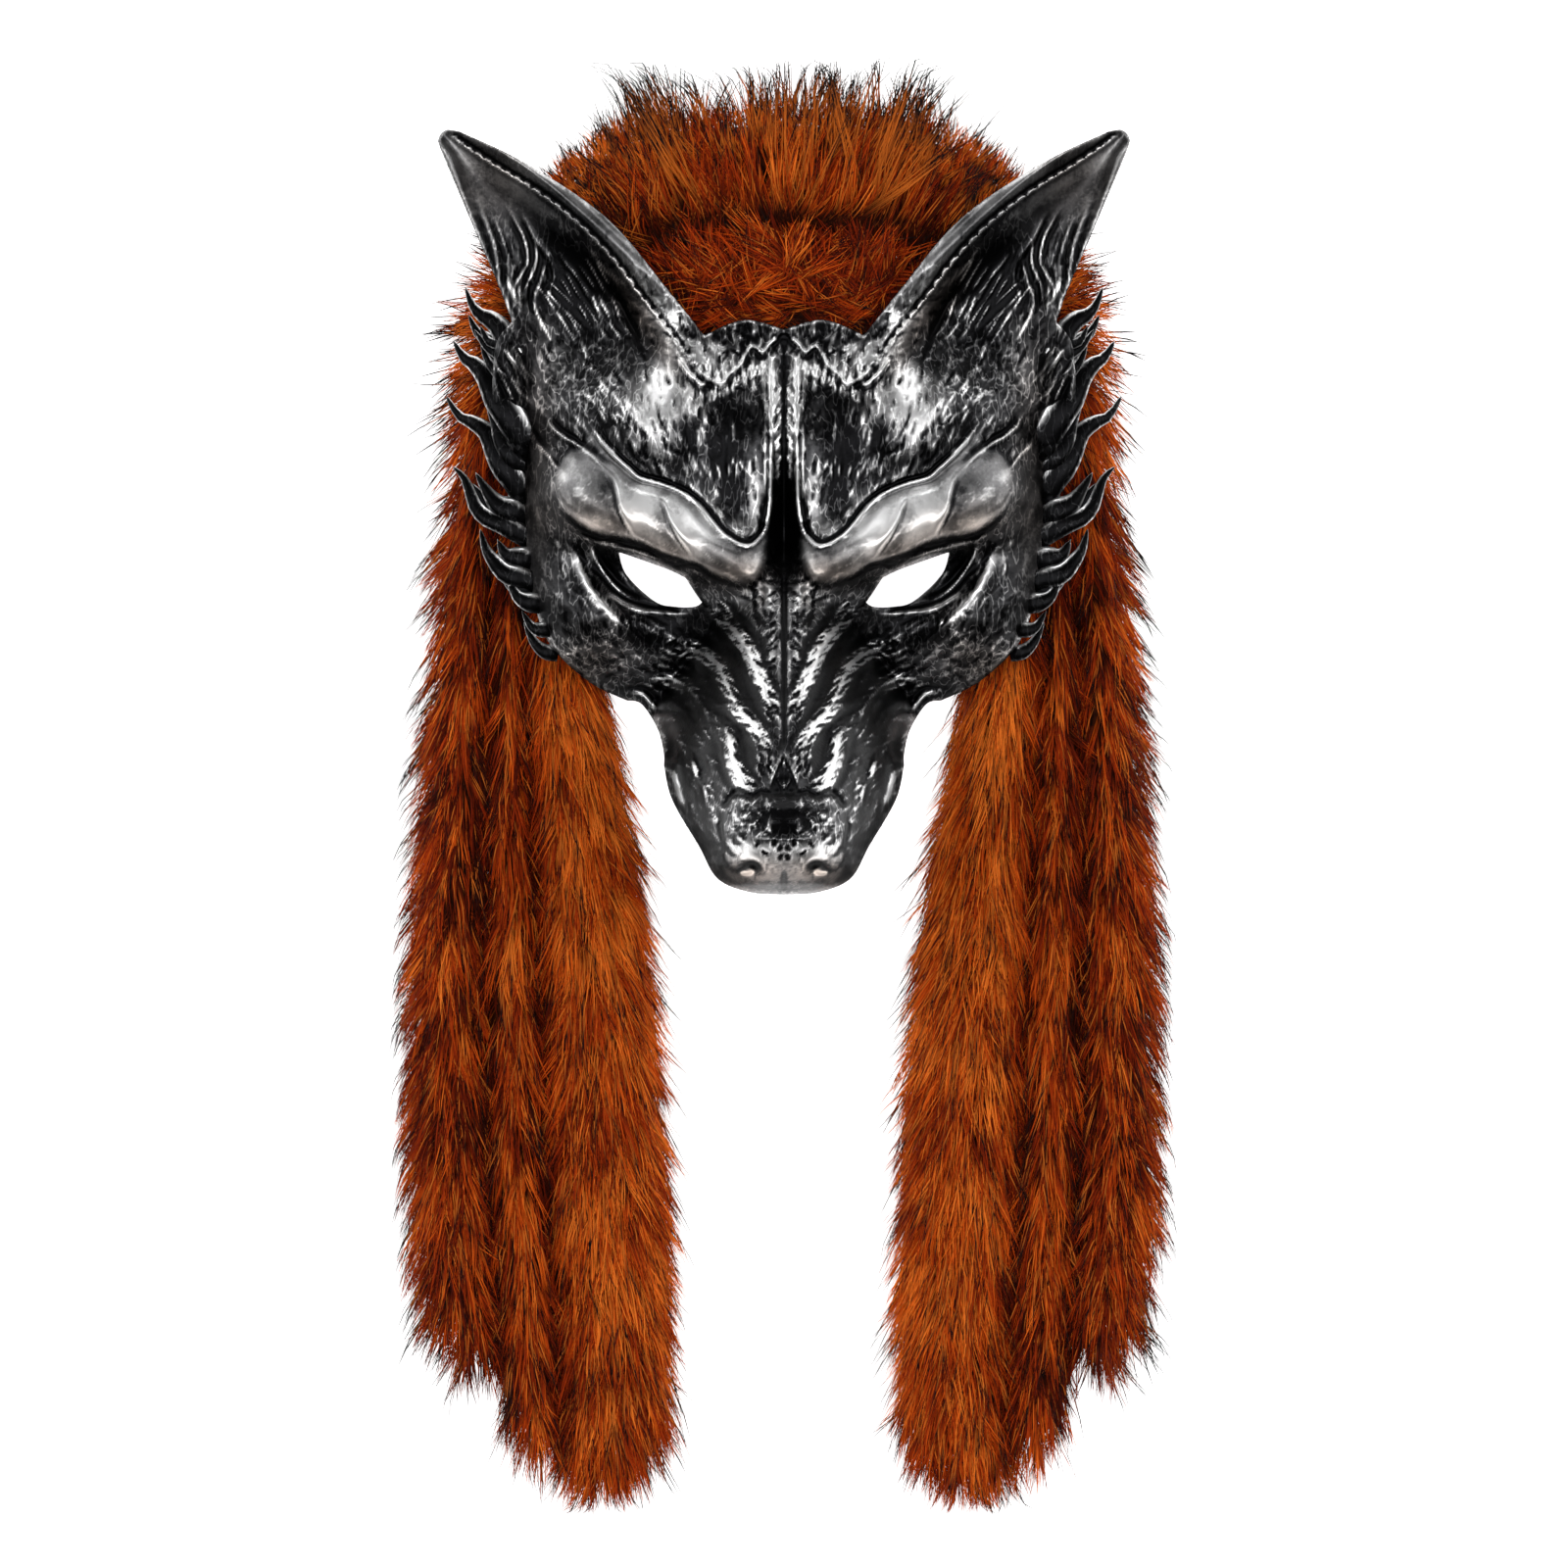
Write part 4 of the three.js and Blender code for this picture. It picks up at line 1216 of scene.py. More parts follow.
class Nodes:
    """A material's nodes, made and joined by short calls."""

    def __init__(self, name: str, inputs: dict[str | int, Input]) -> None:
        """Start a material with its shader and output only.

        Args:
            name: Name of the material.
            inputs: Constants of the shader.
        """
        self.material = bpy.data.materials.new(name)
        self.material.use_nodes = True
        self.tree = self.material.node_tree
        self.tree.nodes.clear()
        self.shader = self.add("ShaderNodeBsdfPrincipled", inputs)
        self.add("ShaderNodeOutputMaterial", {"Surface": self.shader.outputs["BSDF"]})

    def add(self, kind: str, inputs: dict[str | int, Input], **settings: str) -> bpy.types.Node:
        """Add a node.

        Args:
            kind: The node's type.
            inputs: For some of its inputs another node's output, a number or a colour.
            settings: Choices that the node itself holds.

        Returns:
            The node.
        """
        node = self.tree.nodes.new(kind)
        for name, choice in settings.items():
            setattr(node, name, choice)
        self.feed(node, inputs)
        return node

    def feed(self, node: bpy.types.Node, inputs: dict[str | int, Input]) -> None:
        """Join outputs to a node's inputs, and set others to constants.

        Args:
            node: The node.
            inputs: An output, a number or a colour for each input.
        """
        for name, source in inputs.items():
            if isinstance(source, Socket):
                self.tree.links.new(source, node.inputs[name])
            else:
                colour = isinstance(source, tuple) and node.inputs[name].type == "RGBA"
                node.inputs[name].default_value = (*source, 1) if colour else source

    def value(self, name: str) -> Socket:
        """A number that the mesh carries at its vertices."""
        return self.add("ShaderNodeAttribute", {}, attribute_name=name).outputs["Fac"]

    def noise(self, scale: float, detail: float = 3.0, stretch: Triple = (1, 1, 1)) -> Socket:
        """Random mottling over the object's own frame, with spots of about one over its scale in metres."""
        place = self.add("ShaderNodeTexCoord", {}).outputs["Object"]
        place = self.add("ShaderNodeMapping", {"Vector": place, "Scale": stretch}).outputs["Vector"]
        inputs = {"Vector": place, "Scale": scale, "Detail": detail}
        return self.add("ShaderNodeTexNoise", inputs).outputs["Fac"]

    def math(self, operation: str, a: Input, b: Input) -> Socket:
        """A sum of two numbers."""
        return self.add("ShaderNodeMath", {0: a, 1: b}, operation=operation).outputs[0]

    def ease(self, source: Socket, start: float, end: float, low: float = 0.0, high: float = 1.0) -> Socket:
        """Map a number from one span to another, without running past its ends."""
        span = {"From Min": start, "From Max": end, "To Min": low, "To Max": high}
        return self.add("ShaderNodeMapRange", {"Value": source, **span}).outputs["Result"]

    def ramp(self, source: Socket, stops: Sequence[tuple[float, Triple]]) -> Socket:
        """Choose a colour for each number.

        Args:
            source: The number.
            stops: Numbers and their colours, in rising order.

        Returns:
            The colour.
        """
        node = self.add("ShaderNodeValToRGB", {"Fac": source})
        elements = node.color_ramp.elements
        for element, (position, colour) in zip(elements, (stops[0], stops[-1])):
            element.position, element.color = position, (*colour, 1)
        for position, colour in stops[1:-1]:
            elements.new(position).color = (*colour, 1)
        return node.outputs["Color"]

    def mix(self, share: Socket, a: Input, b: Input, blend: str = "MIX") -> Socket:
        """A colour between two colours."""
        colours = {0: share, 6: a, 7: b}
        return self.add("ShaderNodeMix", colours, data_type="RGBA", blend_type=blend).outputs[2]

    def bump(self, height: Socket, distance: float, strength: float = 1.0) -> None:
        """Bump the shader's surface by a height."""
        node = self.add("ShaderNodeBump", {"Height": height, "Distance": distance, "Strength": strength})
        self.feed(self.shader, {"Normal": node.outputs["Normal"]})


@dataclass(frozen=True)
class AntiqueSilver:
    """Silver coat over black, rubbed bright on the ridges, with highlights painted into it in places, and
    warm where it is thin.
    """

    soot: Triple = (0.006, 0.006, 0.0065)
    iron: Triple = (0.045, 0.045, 0.047)
    pewter: Triple = (0.24, 0.238, 0.24)
    silver: Triple = (0.82, 0.82, 0.82)
    warm: Triple = (1.0, 0.86, 0.76)
    roughness: Point = (0.33, 0.43)  # where it is moulded as hair, and where it is smooth
    pits: float = 900.0  # spots to the metre, as in the two below
    clouds: float = 110.0
    grain: float = 430.0

    def make(self) -> bpy.types.Material:
        """Make the material.

        Returns:
            The material, which reads the mesh's values for rubbed silver with painted highlights, calm and
            warm.
        """
        nodes = Nodes("antique_silver", {"Metallic": 1.0})
        pits = nodes.noise(self.pits, 3)
        clouds = nodes.noise(self.clouds, 4)
        grain = nodes.noise(self.grain, 1.5, (1.0, 0.32, 0.7))
        calm = nodes.value("calm")
        rub_and_highlight = nodes.math("ADD", nodes.value("rub_and_highlight"), nodes.ease(pits, 0.25, 0.75, -0.06, 0.06))
        rub_and_highlight = nodes.math("ADD", rub_and_highlight, nodes.ease(clouds, 0.3, 0.7, -0.08, 0.08))
        line = nodes.math("ABSOLUTE", nodes.math("SUBTRACT", grain, 0.5), 0.0)
        line = nodes.ease(line, 0.0, 0.045, 0.30, -0.05)
        rub_and_highlight = nodes.math("ADD", rub_and_highlight, nodes.math("MULTIPLY", line, nodes.ease(calm, 0.0, 0.8, 1.0, 0.12)))
        stops = ((0.0, self.soot), (0.28, self.iron), (0.58, self.pewter), (0.95, self.silver))
        colour = nodes.mix(nodes.value("warm"), nodes.ramp(rub_and_highlight, stops), self.warm, "MULTIPLY")
        rough = nodes.ease(calm, 0.0, 1.0, *self.roughness)
        rough = nodes.math("ADD", rough, nodes.ease(clouds, 0.3, 0.7, -0.05, 0.06))
        nodes.feed(nodes.shader, {"Base Color": colour, "Roughness": rough})
        nodes.bump(pits, 0.00012, 0.6)
        return nodes.material


@dataclass(frozen=True)
class FoxHair:
    """Long hair: dark red at the root, orange along its length, black at the tip of the guard hairs."""

    root: Triple = (0.020, 0.0035, 0.0012)
    tips: Triple = (0.006, 0.005, 0.005)
    body: tuple[tuple[float, Triple], ...] = (
        (0.0, (0.030, 0.0035, 0.001)), (0.25, (0.155, 0.0105, 0.0008)), (0.5, (0.41, 0.038, 0.0022)),
        (0.72, (0.70, 0.102, 0.006)), (0.87, (0.92, 0.21, 0.022)),
    )
    guard_from: float = 0.88  # tone past which a hair is a guard hair

    def make(self) -> bpy.types.Material:
        """Make the material.

        Returns:
            The material, which reads the mesh's tone and along values.
        """
        nodes = Nodes("fox_hair", {"Roughness": 0.6, "Specular IOR Level": 0.04})
        tone = nodes.value("tone")
        along = nodes.value("along")
        colour = nodes.mix(nodes.ease(along, 0.05, 0.55), self.root, nodes.ramp(tone, self.body))
        guard = nodes.ease(tone, self.guard_from, self.guard_from + 0.02)
        guard = nodes.math("MULTIPLY", guard, nodes.ease(along, 0.35, 0.62))
        colour = nodes.mix(guard, colour, self.tips)
        nodes.feed(nodes.shader, {"Base Color": colour})
        return nodes.material


@dataclass(frozen=True)
class UnderFur:
    """The dense dark wool under the long hair."""

    deep: Triple = (0.012, 0.003, 0.0015)
    shown: Triple = (0.07, 0.014, 0.004)

    def make(self) -> bpy.types.Material:
        """Make the material.

        Returns:
            The material.
        """
        nodes = Nodes("under_fur", {"Roughness": 0.9, "Specular IOR Level": 0.05})
        wool = nodes.noise(900, 4, (1, 0.35, 1))
        colour = nodes.mix(nodes.ease(wool, 0.35, 0.7), self.deep, self.shown)
        nodes.feed(nodes.shader, {"Base Color": colour})
        nodes.bump(wool, 0.001)
        return nodes.material


@dataclass(frozen=True)
class PaleFloor:
    """The pale floor, faintly lit from within as a light table is."""

    colour: Triple = (0.9, 0.9, 0.9)
    glow: float = 1.0

    def make(self) -> bpy.types.Material:
        """Make the material.

        Returns:
            The material.
        """
        glow = {"Emission Color": (1, 1, 1), "Emission Strength": self.glow}
        inputs = {"Base Color": self.colour, "Roughness": 0.9, "Specular IOR Level": 0.0, **glow}
        return Nodes("pale_floor", inputs).material


# The moulding


@dataclass
class FaceMoulding:
    """The mask: one hollow moulding with its relief, cut to its outline and its eye openings."""

    step: float = 0.615
    form: FaceForm = FaceForm()
    seed: int = 11
    block: int = 5  # cells across that are joined into one on the plain back
    rim_round: float = 1.3
    rim_drop: float = 1.1
    back_rub: float = 0.16
    front_rub: float = 0.17  # before what the relief adds
    edge_rub: float = 0.30  # more along the rim
    crest_blur: float = 2.2
    crest_gain: float = 0.20
    fine_blur: float = 0.9
    fine_gain: float = 0.22

    def build(self) -> Parcel:
        """Work out the moulding's mesh.

        Returns:
            Its vertices, faces and values, in millimetres.
        """
        grid = HalfGrid(self.step)
        reach = 8 * self.step
        outline = grid.signed(follow_runs(OUTLINE_RUNS, 12), reach)
        inside = np.minimum(outline, -grid.signed(follow_runs(EYE_RUNS, 12), reach))
        relief = MaskRelief(grid, self.seed, self.form)
        relief.build()
        base = self.form.front(grid.x, grid.y)
        rim = np.clip(1 - inside / self.rim_round, 0, 1)
        drop = self.rim_drop * (1 - np.sqrt(np.maximum(0, 1 - rim**2)))
        fade = smoothstep(-0.2, 1.4, inside)
        front = base + relief.height * (0.35 + 0.65 * fade) - drop
        slope_y, slope_x = np.gradient(base, self.step)
        upward = 1 / np.sqrt(1 + slope_x**2 + slope_y**2)
        back = base - self.form.wall / np.maximum(self.form.steepest_normal, upward)
        body = self.level_rub(relief)
        body = body + self.edge_rub * np.exp(-((np.maximum(inside, 0) - 0.5) ** 2) / 0.5)
        warm = np.clip(relief.warm, 0, 1)
        fields = {"front": front, "back": back, "rub_and_highlight": body, "warm": warm, "calm": relief.calm}
        full = {key: self.mirrored(array) for key, array in fields.items()}
        xs = np.concatenate([-grid.xs[:0:-1], grid.xs])
        return MouldedSheet(xs, grid.ys, self.mirrored(inside), full).parcel(self.block, self.back_rub)

    @staticmethod
    def mirrored(half: Array) -> Array:
        """Values over both halves from those over one."""
        return np.hstack([half[:, :0:-1], half])

    def level_rub(self, relief: Relief) -> Array:
        """Work out the silver that shows, painted highlights included: more on crests, none in hollows.

        Args:
            relief: The mask's relief.

        Returns:
            Its share at each grid point.
        """
        crest = relief.height - soften(relief.height, self.crest_blur / self.step)
        fine = relief.height - soften(relief.height, self.fine_blur / self.step)
        shown = self.crest_gain * crest + self.fine_gain * fine
        return self.front_rub + relief.rub_and_highlight + shown * (1 - 0.85 * relief.calm)


@dataclass
class MouldedSheet:
    """A curved sheet with thickness, cut out of a grid along a line between its points."""

    xs: Array
    ys: Array
    inside: Array
    fields: dict[str, Array]
    points: list[tuple[float, ...]] = field(default_factory=list)
    cuts: dict[tuple[int, ...], int] = field(default_factory=dict)

    def __post_init__(self) -> None:
        """Number the grid points that stay, and stack what is known at each point."""
        self.kept = self.inside > 0
        self.numbers = np.full(self.kept.shape, -1)
        self.numbers[self.kept] = np.arange(self.kept.sum())
        known = (self.fields[key] for key in ("front", "back", "rub_and_highlight", "warm", "calm"))
        self.stack = np.stack([*np.meshgrid(self.xs, self.ys), *known], axis=-1)

    def parcel(self, block: int, back_rub: float) -> Parcel:
        """Build front, back and rim.

        Args:
            block: Cells across that the back joins into one face.
            back_rub: Silver that shows on the back.

        Returns:
            The closed mesh, in millimetres.
        """
        kept = self.kept.astype(int)
        corners = kept[:-1, :-1] + kept[:-1, 1:] + kept[1:, 1:] + kept[1:, :-1]
        partial: list[Face] = []
        edges: list[Face] = []
        for row, column in np.argwhere((corners > 0) & (corners < 4)).tolist():
            face, edge = self.cut_cell(row, column)
            partial.append(face)
            edges.extend(edge)
        data = np.vstack([self.stack[self.kept], np.array(self.points)])
        whole = corners == 4
        rear = self.back_faces(whole, block) + [face[::-1] for face in partial]
        return self.assemble(data, self.quads(whole) + partial, rear, edges, back_rub)

    def quads(self, cells: Array) -> list[Face]:
        """Whole cells as faces, turned to the front."""
        rows, columns = np.nonzero(cells)
        ring = [self.numbers[rows + up, columns + over] for up, over in ((0, 0), (0, 1), (1, 1), (1, 0))]
        return [tuple(face) for face in np.stack(ring, axis=1).tolist()]

    def cut_cell(self, row: int, column: int) -> tuple[Face, list[Face]]:
        """Cut one cell along the outline.

        Args:
            row: The cell's row.
            column: The cell's column.

        Returns:
            The corners of the part that stays, and its edges along the outline.
        """
        ring = ((row, column), (row, column + 1), (row + 1, column + 1), (row + 1, column))
        face: list[int] = []
        on_line: list[bool] = []
        for here, there in zip(ring, ring[1:] + ring[:1]):
            if self.kept[here]:
                face.append(int(self.numbers[here]))
                on_line.append(False)
            if self.kept[here] != self.kept[there]:
                face.append(self.cut(*((here, there) if self.kept[here] else (there, here))))
                on_line.append(True)
        pairs = zip(face, face[1:] + face[:1], on_line, on_line[1:] + on_line[:1])
        return tuple(face), [(a, b) for a, b, a_cut, b_cut in pairs if a_cut and b_cut]

    def cut(self, inner: tuple[int, int], outer: tuple[int, int]) -> int:
        """Put a point where the outline crosses the line between two grid points.

        Args:
            inner: Row and column of the grid point that stays.
            outer: Row and column of the one that doesn't.

        Returns:
            The point's number.
        """
        key = (*inner, *outer)
        if key not in self.cuts:
            share = self.inside[inner] / (self.inside[inner] - self.inside[outer])
            share = min(0.95, max(0.15, share))
            self.cuts[key] = int(self.kept.sum()) + len(self.points)
            self.points.append(tuple(self.stack[inner] + (self.stack[outer] - self.stack[inner]) * share))
        return self.cuts[key]

    def back_faces(self, whole: Array, block: int) -> list[Face]:
        """Lay out the back, with large faces where the cells are whole and small ones near the rim.

        Args:
            whole: The cells that aren't cut.
            block: Cells across a large face.

        Returns:
            The back's faces, apart from the cut cells.
        """
        rows, columns = whole.shape[0] // block, whole.shape[1] // block
        cut = whole[: rows * block, : columns * block]
        full = np.pad(cut.reshape(rows, block, columns, block).all(axis=(1, 3)), 1)
        faces: list[Face] = []
        covered = np.zeros(whole.shape, bool)
        for row, column in np.argwhere(full) - 1:
            r, c = row * block, column * block
            covered[r : r + block, c : c + block] = True
            sides = (
                (full[row, column + 1], [(r, c + k) for k in range(block)]),
                (full[row + 1, column + 2], [(r + k, c + block) for k in range(block)]),
                (full[row + 2, column + 1], [(r + block, c + block - k) for k in range(block)]),
                (full[row + 1, column], [(r + block - k, c) for k in range(block)]),
            )
            ring: list[int] = []
            for plain, places in sides:
                ring.extend(int(self.numbers[place]) for place in (places[:1] if plain else places))
            faces.append(tuple(reversed(ring)))
        return faces + [face[::-1] for face in self.quads(whole & ~covered)]

    def assemble(
        self, data: Array, front: list[Face], rear: list[Face], edges: list[Face], back_rub: float
    ) -> Parcel:
        """Join front, back and rim.

        Args:
            data: All that is known at each point.
            front: Faces of the front.
            rear: Faces of the back.
            edges: Edges along the outline.
            back_rub: Silver that shows on the back.

        Returns:
            The closed mesh.
        """
        used = np.unique(np.concatenate([np.asarray(face) for face in rear]))
        place = np.full(len(data), -1)
        place[used] = len(data) + np.arange(len(used))
        faces = list(front)
        faces.extend(tuple(int(place[index]) for index in face) for face in rear)
        faces.extend((b, a, int(place[a]), int(place[b])) for a, b in edges)
        values = {
            key: np.concatenate([data[:, column], np.full(len(used), level)])
            for key, column, level in (("rub_and_highlight", 4, back_rub), ("warm", 5, 0.0), ("calm", 6, 0.0))
        }
        points = np.vstack([data[:, [0, 1, 2]], data[used][:, [0, 1, 3]]])
        return Parcel(points, faces, values, self.layout(data, used))

    def layout(self, data: Array, used: Array) -> Array:
        """Place the front large and the back small beside it in the baked picture.

        Args:
            data: All that is known at each point of the front.
            used: Which of these points the back has too.

        Returns:
            A place for each point of the front and then of the back.
        """
        low = np.array([self.xs[0], self.ys[0]])
        span = max(self.xs[-1] - self.xs[0], self.ys[-1] - self.ys[0])
        large = (data[:, :2] - low) / span * 0.76 + 0.005
        small = (data[used][:, :2] - low) / span * 0.22 + np.array([0.78, 0.005])
        return np.vstack([large, small])


@dataclass(frozen=True)
class Lock:
    """A pointed side lock: its half width, and its path with the rise over its root's place."""

    width: float
    path: tuple[Triple, ...]


@dataclass
class SideLocks:
    """The curled, pointed locks at both temples."""

    form: FaceForm
    rings: int = 12
    sides: int = 12
    flatness: float = 0.42
    breadth: float = 2.05
    sink: float = 1.6  # how deep the roots start in the moulding
    ridge: float = 0.16  # rise of the three ridges along a lock
    slimming: Point = (0.89, 1.45)  # how much narrower the last ring is, and how late that comes
    tip: float = 2.5  # length of the point, in half widths of the last ring
    rub_and_highlight: Point = (-0.16, 1.32)  # silver on the flats, and how much more rubbed silver and painted highlight there is along the edges
    locks: tuple[Lock, ...] = tuple(Lock(width, tuple(path)) for width, *path in (
        (2.3, (82, 74, 1), (86.9, 77.6, 1.5), (90.6, 80.4, 0.5), (93.2, 85, -0.5), (96.4, 87.6, -1.5),
         (99.1, 89, -2.5), (101.8, 92.3, -4.5), (103.6, 97, -6.5)),
        (2.5, (84, 60, 1), (86.6, 66, 1.5), (89.6, 72, 0.5), (93.4, 76.4, -1), (96.4, 80.6, -2.5),
         (99.8, 83, -4), (102.4, 88, -6)),
        (1.8, (85, 70, 1), (88.4, 76, 1), (91, 79, 0), (96, 80, -2), (98.6, 84.5, -4)),
        (3.0, (83, 44, 1), (87, 51, 1.5), (90.6, 57, 1), (94, 61.6, 0), (96.6, 67.6, -1.5),
         (100.4, 72.4, -4), (104.4, 75, -6.5), (107.2, 79.4, -8.5)),
        (2.1, (84, 52, 1), (87.6, 58, 1.5), (90, 64, 0.5), (93.6, 68.4, -1), (95.2, 73.4, -2.5)),
        (2.6, (84, 28, 1), (88, 34.5, 1.5), (91.6, 39.4, 1), (94.2, 44.6, 0), (96.8, 50.4, -1.5),
         (101.4, 53.8, -3.5), (106, 56, -6.5), (109.6, 61.6, -9.5)),
        (2, (84, 36, 1), (88.6, 42, 1.5), (92.2, 47.4, 0.5), (94.2, 54, -1), (96.6, 59, -3)),
        (1.7, (83.6, 40, 1), (86.8, 47, 1.5), (89, 53, 1), (92.6, 57.8, -0.5)),
        (2.0, (83, 15, 1), (87, 17.6, 1.5), (92, 20.6, 1), (97, 22.6, -0.5), (100.6, 26.4, -2.5),
         (102.6, 31.8, -5), (104.6, 36.2, -7), (107.4, 39, -8.5)),
        (2.4, (84, 22, 1), (88.8, 24.6, 1.5), (93.4, 27, 0.5), (96.6, 31, -1.5), (100, 36.6, -4)),
        (2.1, (81, 1, 1), (86, 2.6, 1.5), (91, 4.6, 1), (94.6, 8.6, -1), (97.2, 12.6, -3.5),
         (98.8, 18.2, -6)),
        (2.2, (82, 8, 1), (86.4, 9.4, 1.2), (90.6, 10.8, 0.2), (93, 14.8, -2)),
        (1.9, (79, -6, 1), (83.4, -5, 1.2), (87, -2.6, 0.4), (90, 3, -2)),
        (1.5, (76, -14, 1), (79.6, -14, 1), (82.4, -12.4, 0.2), (85, -8.2, -1.5)),
        (2, (85, 17, 1), (90, 21, 1.5), (94.6, 24.6, 0.5), (98, 29, -1.5), (101.5, 33.5, -4)),
        (1.7, (85, 32, 1), (90, 39, 1.5), (94.5, 45.4, 0.5), (98.5, 50, -1.5), (103.4, 54, -4.5)),
        (2, (83, 56, 1), (87, 62.5, 1.5), (91, 68, 0.5), (95.6, 72.6, -1), (98.4, 78, -3)),
        (1.6, (84, 66, 1), (88, 72, 1.2), (93, 76, 0), (97, 78.6, -1.5), (100.5, 83.5, -3.6)),
        (1.8, (82, -2, 1), (86.6, -0.4, 1.2), (90.4, 3, -0.2), (93.6, 7.6, -2.4)),
        (1.5, (74, -22, 1), (78, -21, 1), (81.6, -17.6, 0), (84.4, -12, -1.6)),
    ))

    def build(self) -> Parcel:
        """Work out the locks of both sides.

        Returns:
            Their vertices, faces and values, in millimetres.
        """
        parcels = [self.one(lock, side) for lock in self.locks for side in (1, -1)]
        whole = parcels[0]
        for parcel in parcels[1:]:
            whole = whole.joined(parcel)
        columns = 5
        cell = 0.2 / columns
        sizes = np.array([len(parcel.points) for parcel in parcels])
        owner = np.repeat(np.arange(len(parcels)), sizes)
        corner = np.stack([0.78 + (owner % columns) * cell, 0.26 + (owner // columns) * cell], axis=1)
        whole.uv = corner + whole.uv * cell * 0.9
        return whole

    def one(self, lock: Lock, side: int) -> Parcel:
        """Shape one lock as a closed pointed tube, oval across.

        Args:
            lock: Its path and width.
            side: 1 for the positive side and -1 for the other one.

        Returns:
            Its vertices, faces and values, in millimetres.
        """
        root_x, root_y, _ = lock.path[0]
        root = float(self.form.front(np.array(root_x), np.array(root_y))) - self.form.wall / 2
        spine = spline([(x, y, root + rise) for x, y, rise in lock.path], self.rings)
        spine[:, 2] -= self.sink * (1 - smoothstep(0, 0.3, np.linspace(0, 1, len(spine))))
        centres = spline_at(spine, np.linspace(0, len(spine) - 1, self.rings + 1))
        share = np.linspace(0, 1, self.rings + 1)
        along = unit(np.gradient(centres, axis=0))
        across = unit(np.cross((0.0, 0.0, 1.0), along))
        over = unit(np.cross(along, across))
        loss, late = self.slimming
        half = self.breadth * lock.width * (0.8 + 0.2 * smoothstep(0, 0.3, share)) * (1 - loss * share**late)
        angles = np.arange(self.sides) * 2 * math.pi / self.sides
        ridge = 1 + self.ridge * np.cos(3 * angles)[None, :] * (1 - share)[:, None]
        reach = half[:, None] * ridge
        flat = self.flatness * reach * np.sin(angles)
        points = (
            centres[:, None, :]
            + across[:, None, :] * (reach * np.cos(angles))[..., None]
            + over[:, None, :] * flat[..., None]
        )
        tip = centres[-1] + along[-1] * half[-1] * self.tip
        points = np.vstack([points.reshape(-1, 3), centres[:1], [tip]]) * np.array([side, 1, 1])
        faces = tube_faces(self.rings, self.sides)
        faces = faces if side > 0 else [face[::-1] for face in faces]
        # The edges carry rubbed silver and a painted highlight. The highlight is painted stronger on one side
        # of each lock.
        edge = bell((np.abs(np.cos(angles)) - 0.92) / 0.2)[None, :]
        painted_light_side = 0.8 + 0.25 * np.cos(angles)[None, :]
        rub_and_highlight = self.rub_and_highlight[0] + self.rub_and_highlight[1] * painted_light_side * edge * smoothstep(0.0, 0.25, share)[:, None]
        none = np.zeros(len(points))
        values = {"rub_and_highlight": np.concatenate([rub_and_highlight.ravel(), [0.2, 0.7]]), "warm": none, "calm": none}
        uv_x = np.tile((np.arange(self.sides) + 0.5) / (self.sides + 1), self.rings + 1)
        uv_y = np.repeat(share, self.sides)
        uv = np.vstack([np.stack([uv_x, uv_y], axis=1), [[0.5, 0.0], [0.5, 1.0]]])
        return Parcel(points, faces, values, uv)


@dataclass
class Mask:
    """The whole moulding with its locks and its finish."""

    node: str = "mask_shell"
    slot: str = "antique_silver"
    moulding: FaceMoulding = field(default_factory=FaceMoulding)
    finish: AntiqueSilver = AntiqueSilver()

    def build(self) -> bpy.types.Object:
        """Build the mask and dress it.

        Returns:
            The object that stands for the moulding.
        """
        whole = self.moulding.build().joined(SideLocks(self.moulding.form).build())
        points = frame_points(whole.points)
        made = make_object("fox_mask_moulding", points, *joined_corners(whole.faces), whole.values, whole.uv)
        made.data.materials.append(self.finish.make())
        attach(made, BODY)
        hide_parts(self.node)
        return made


# The fur


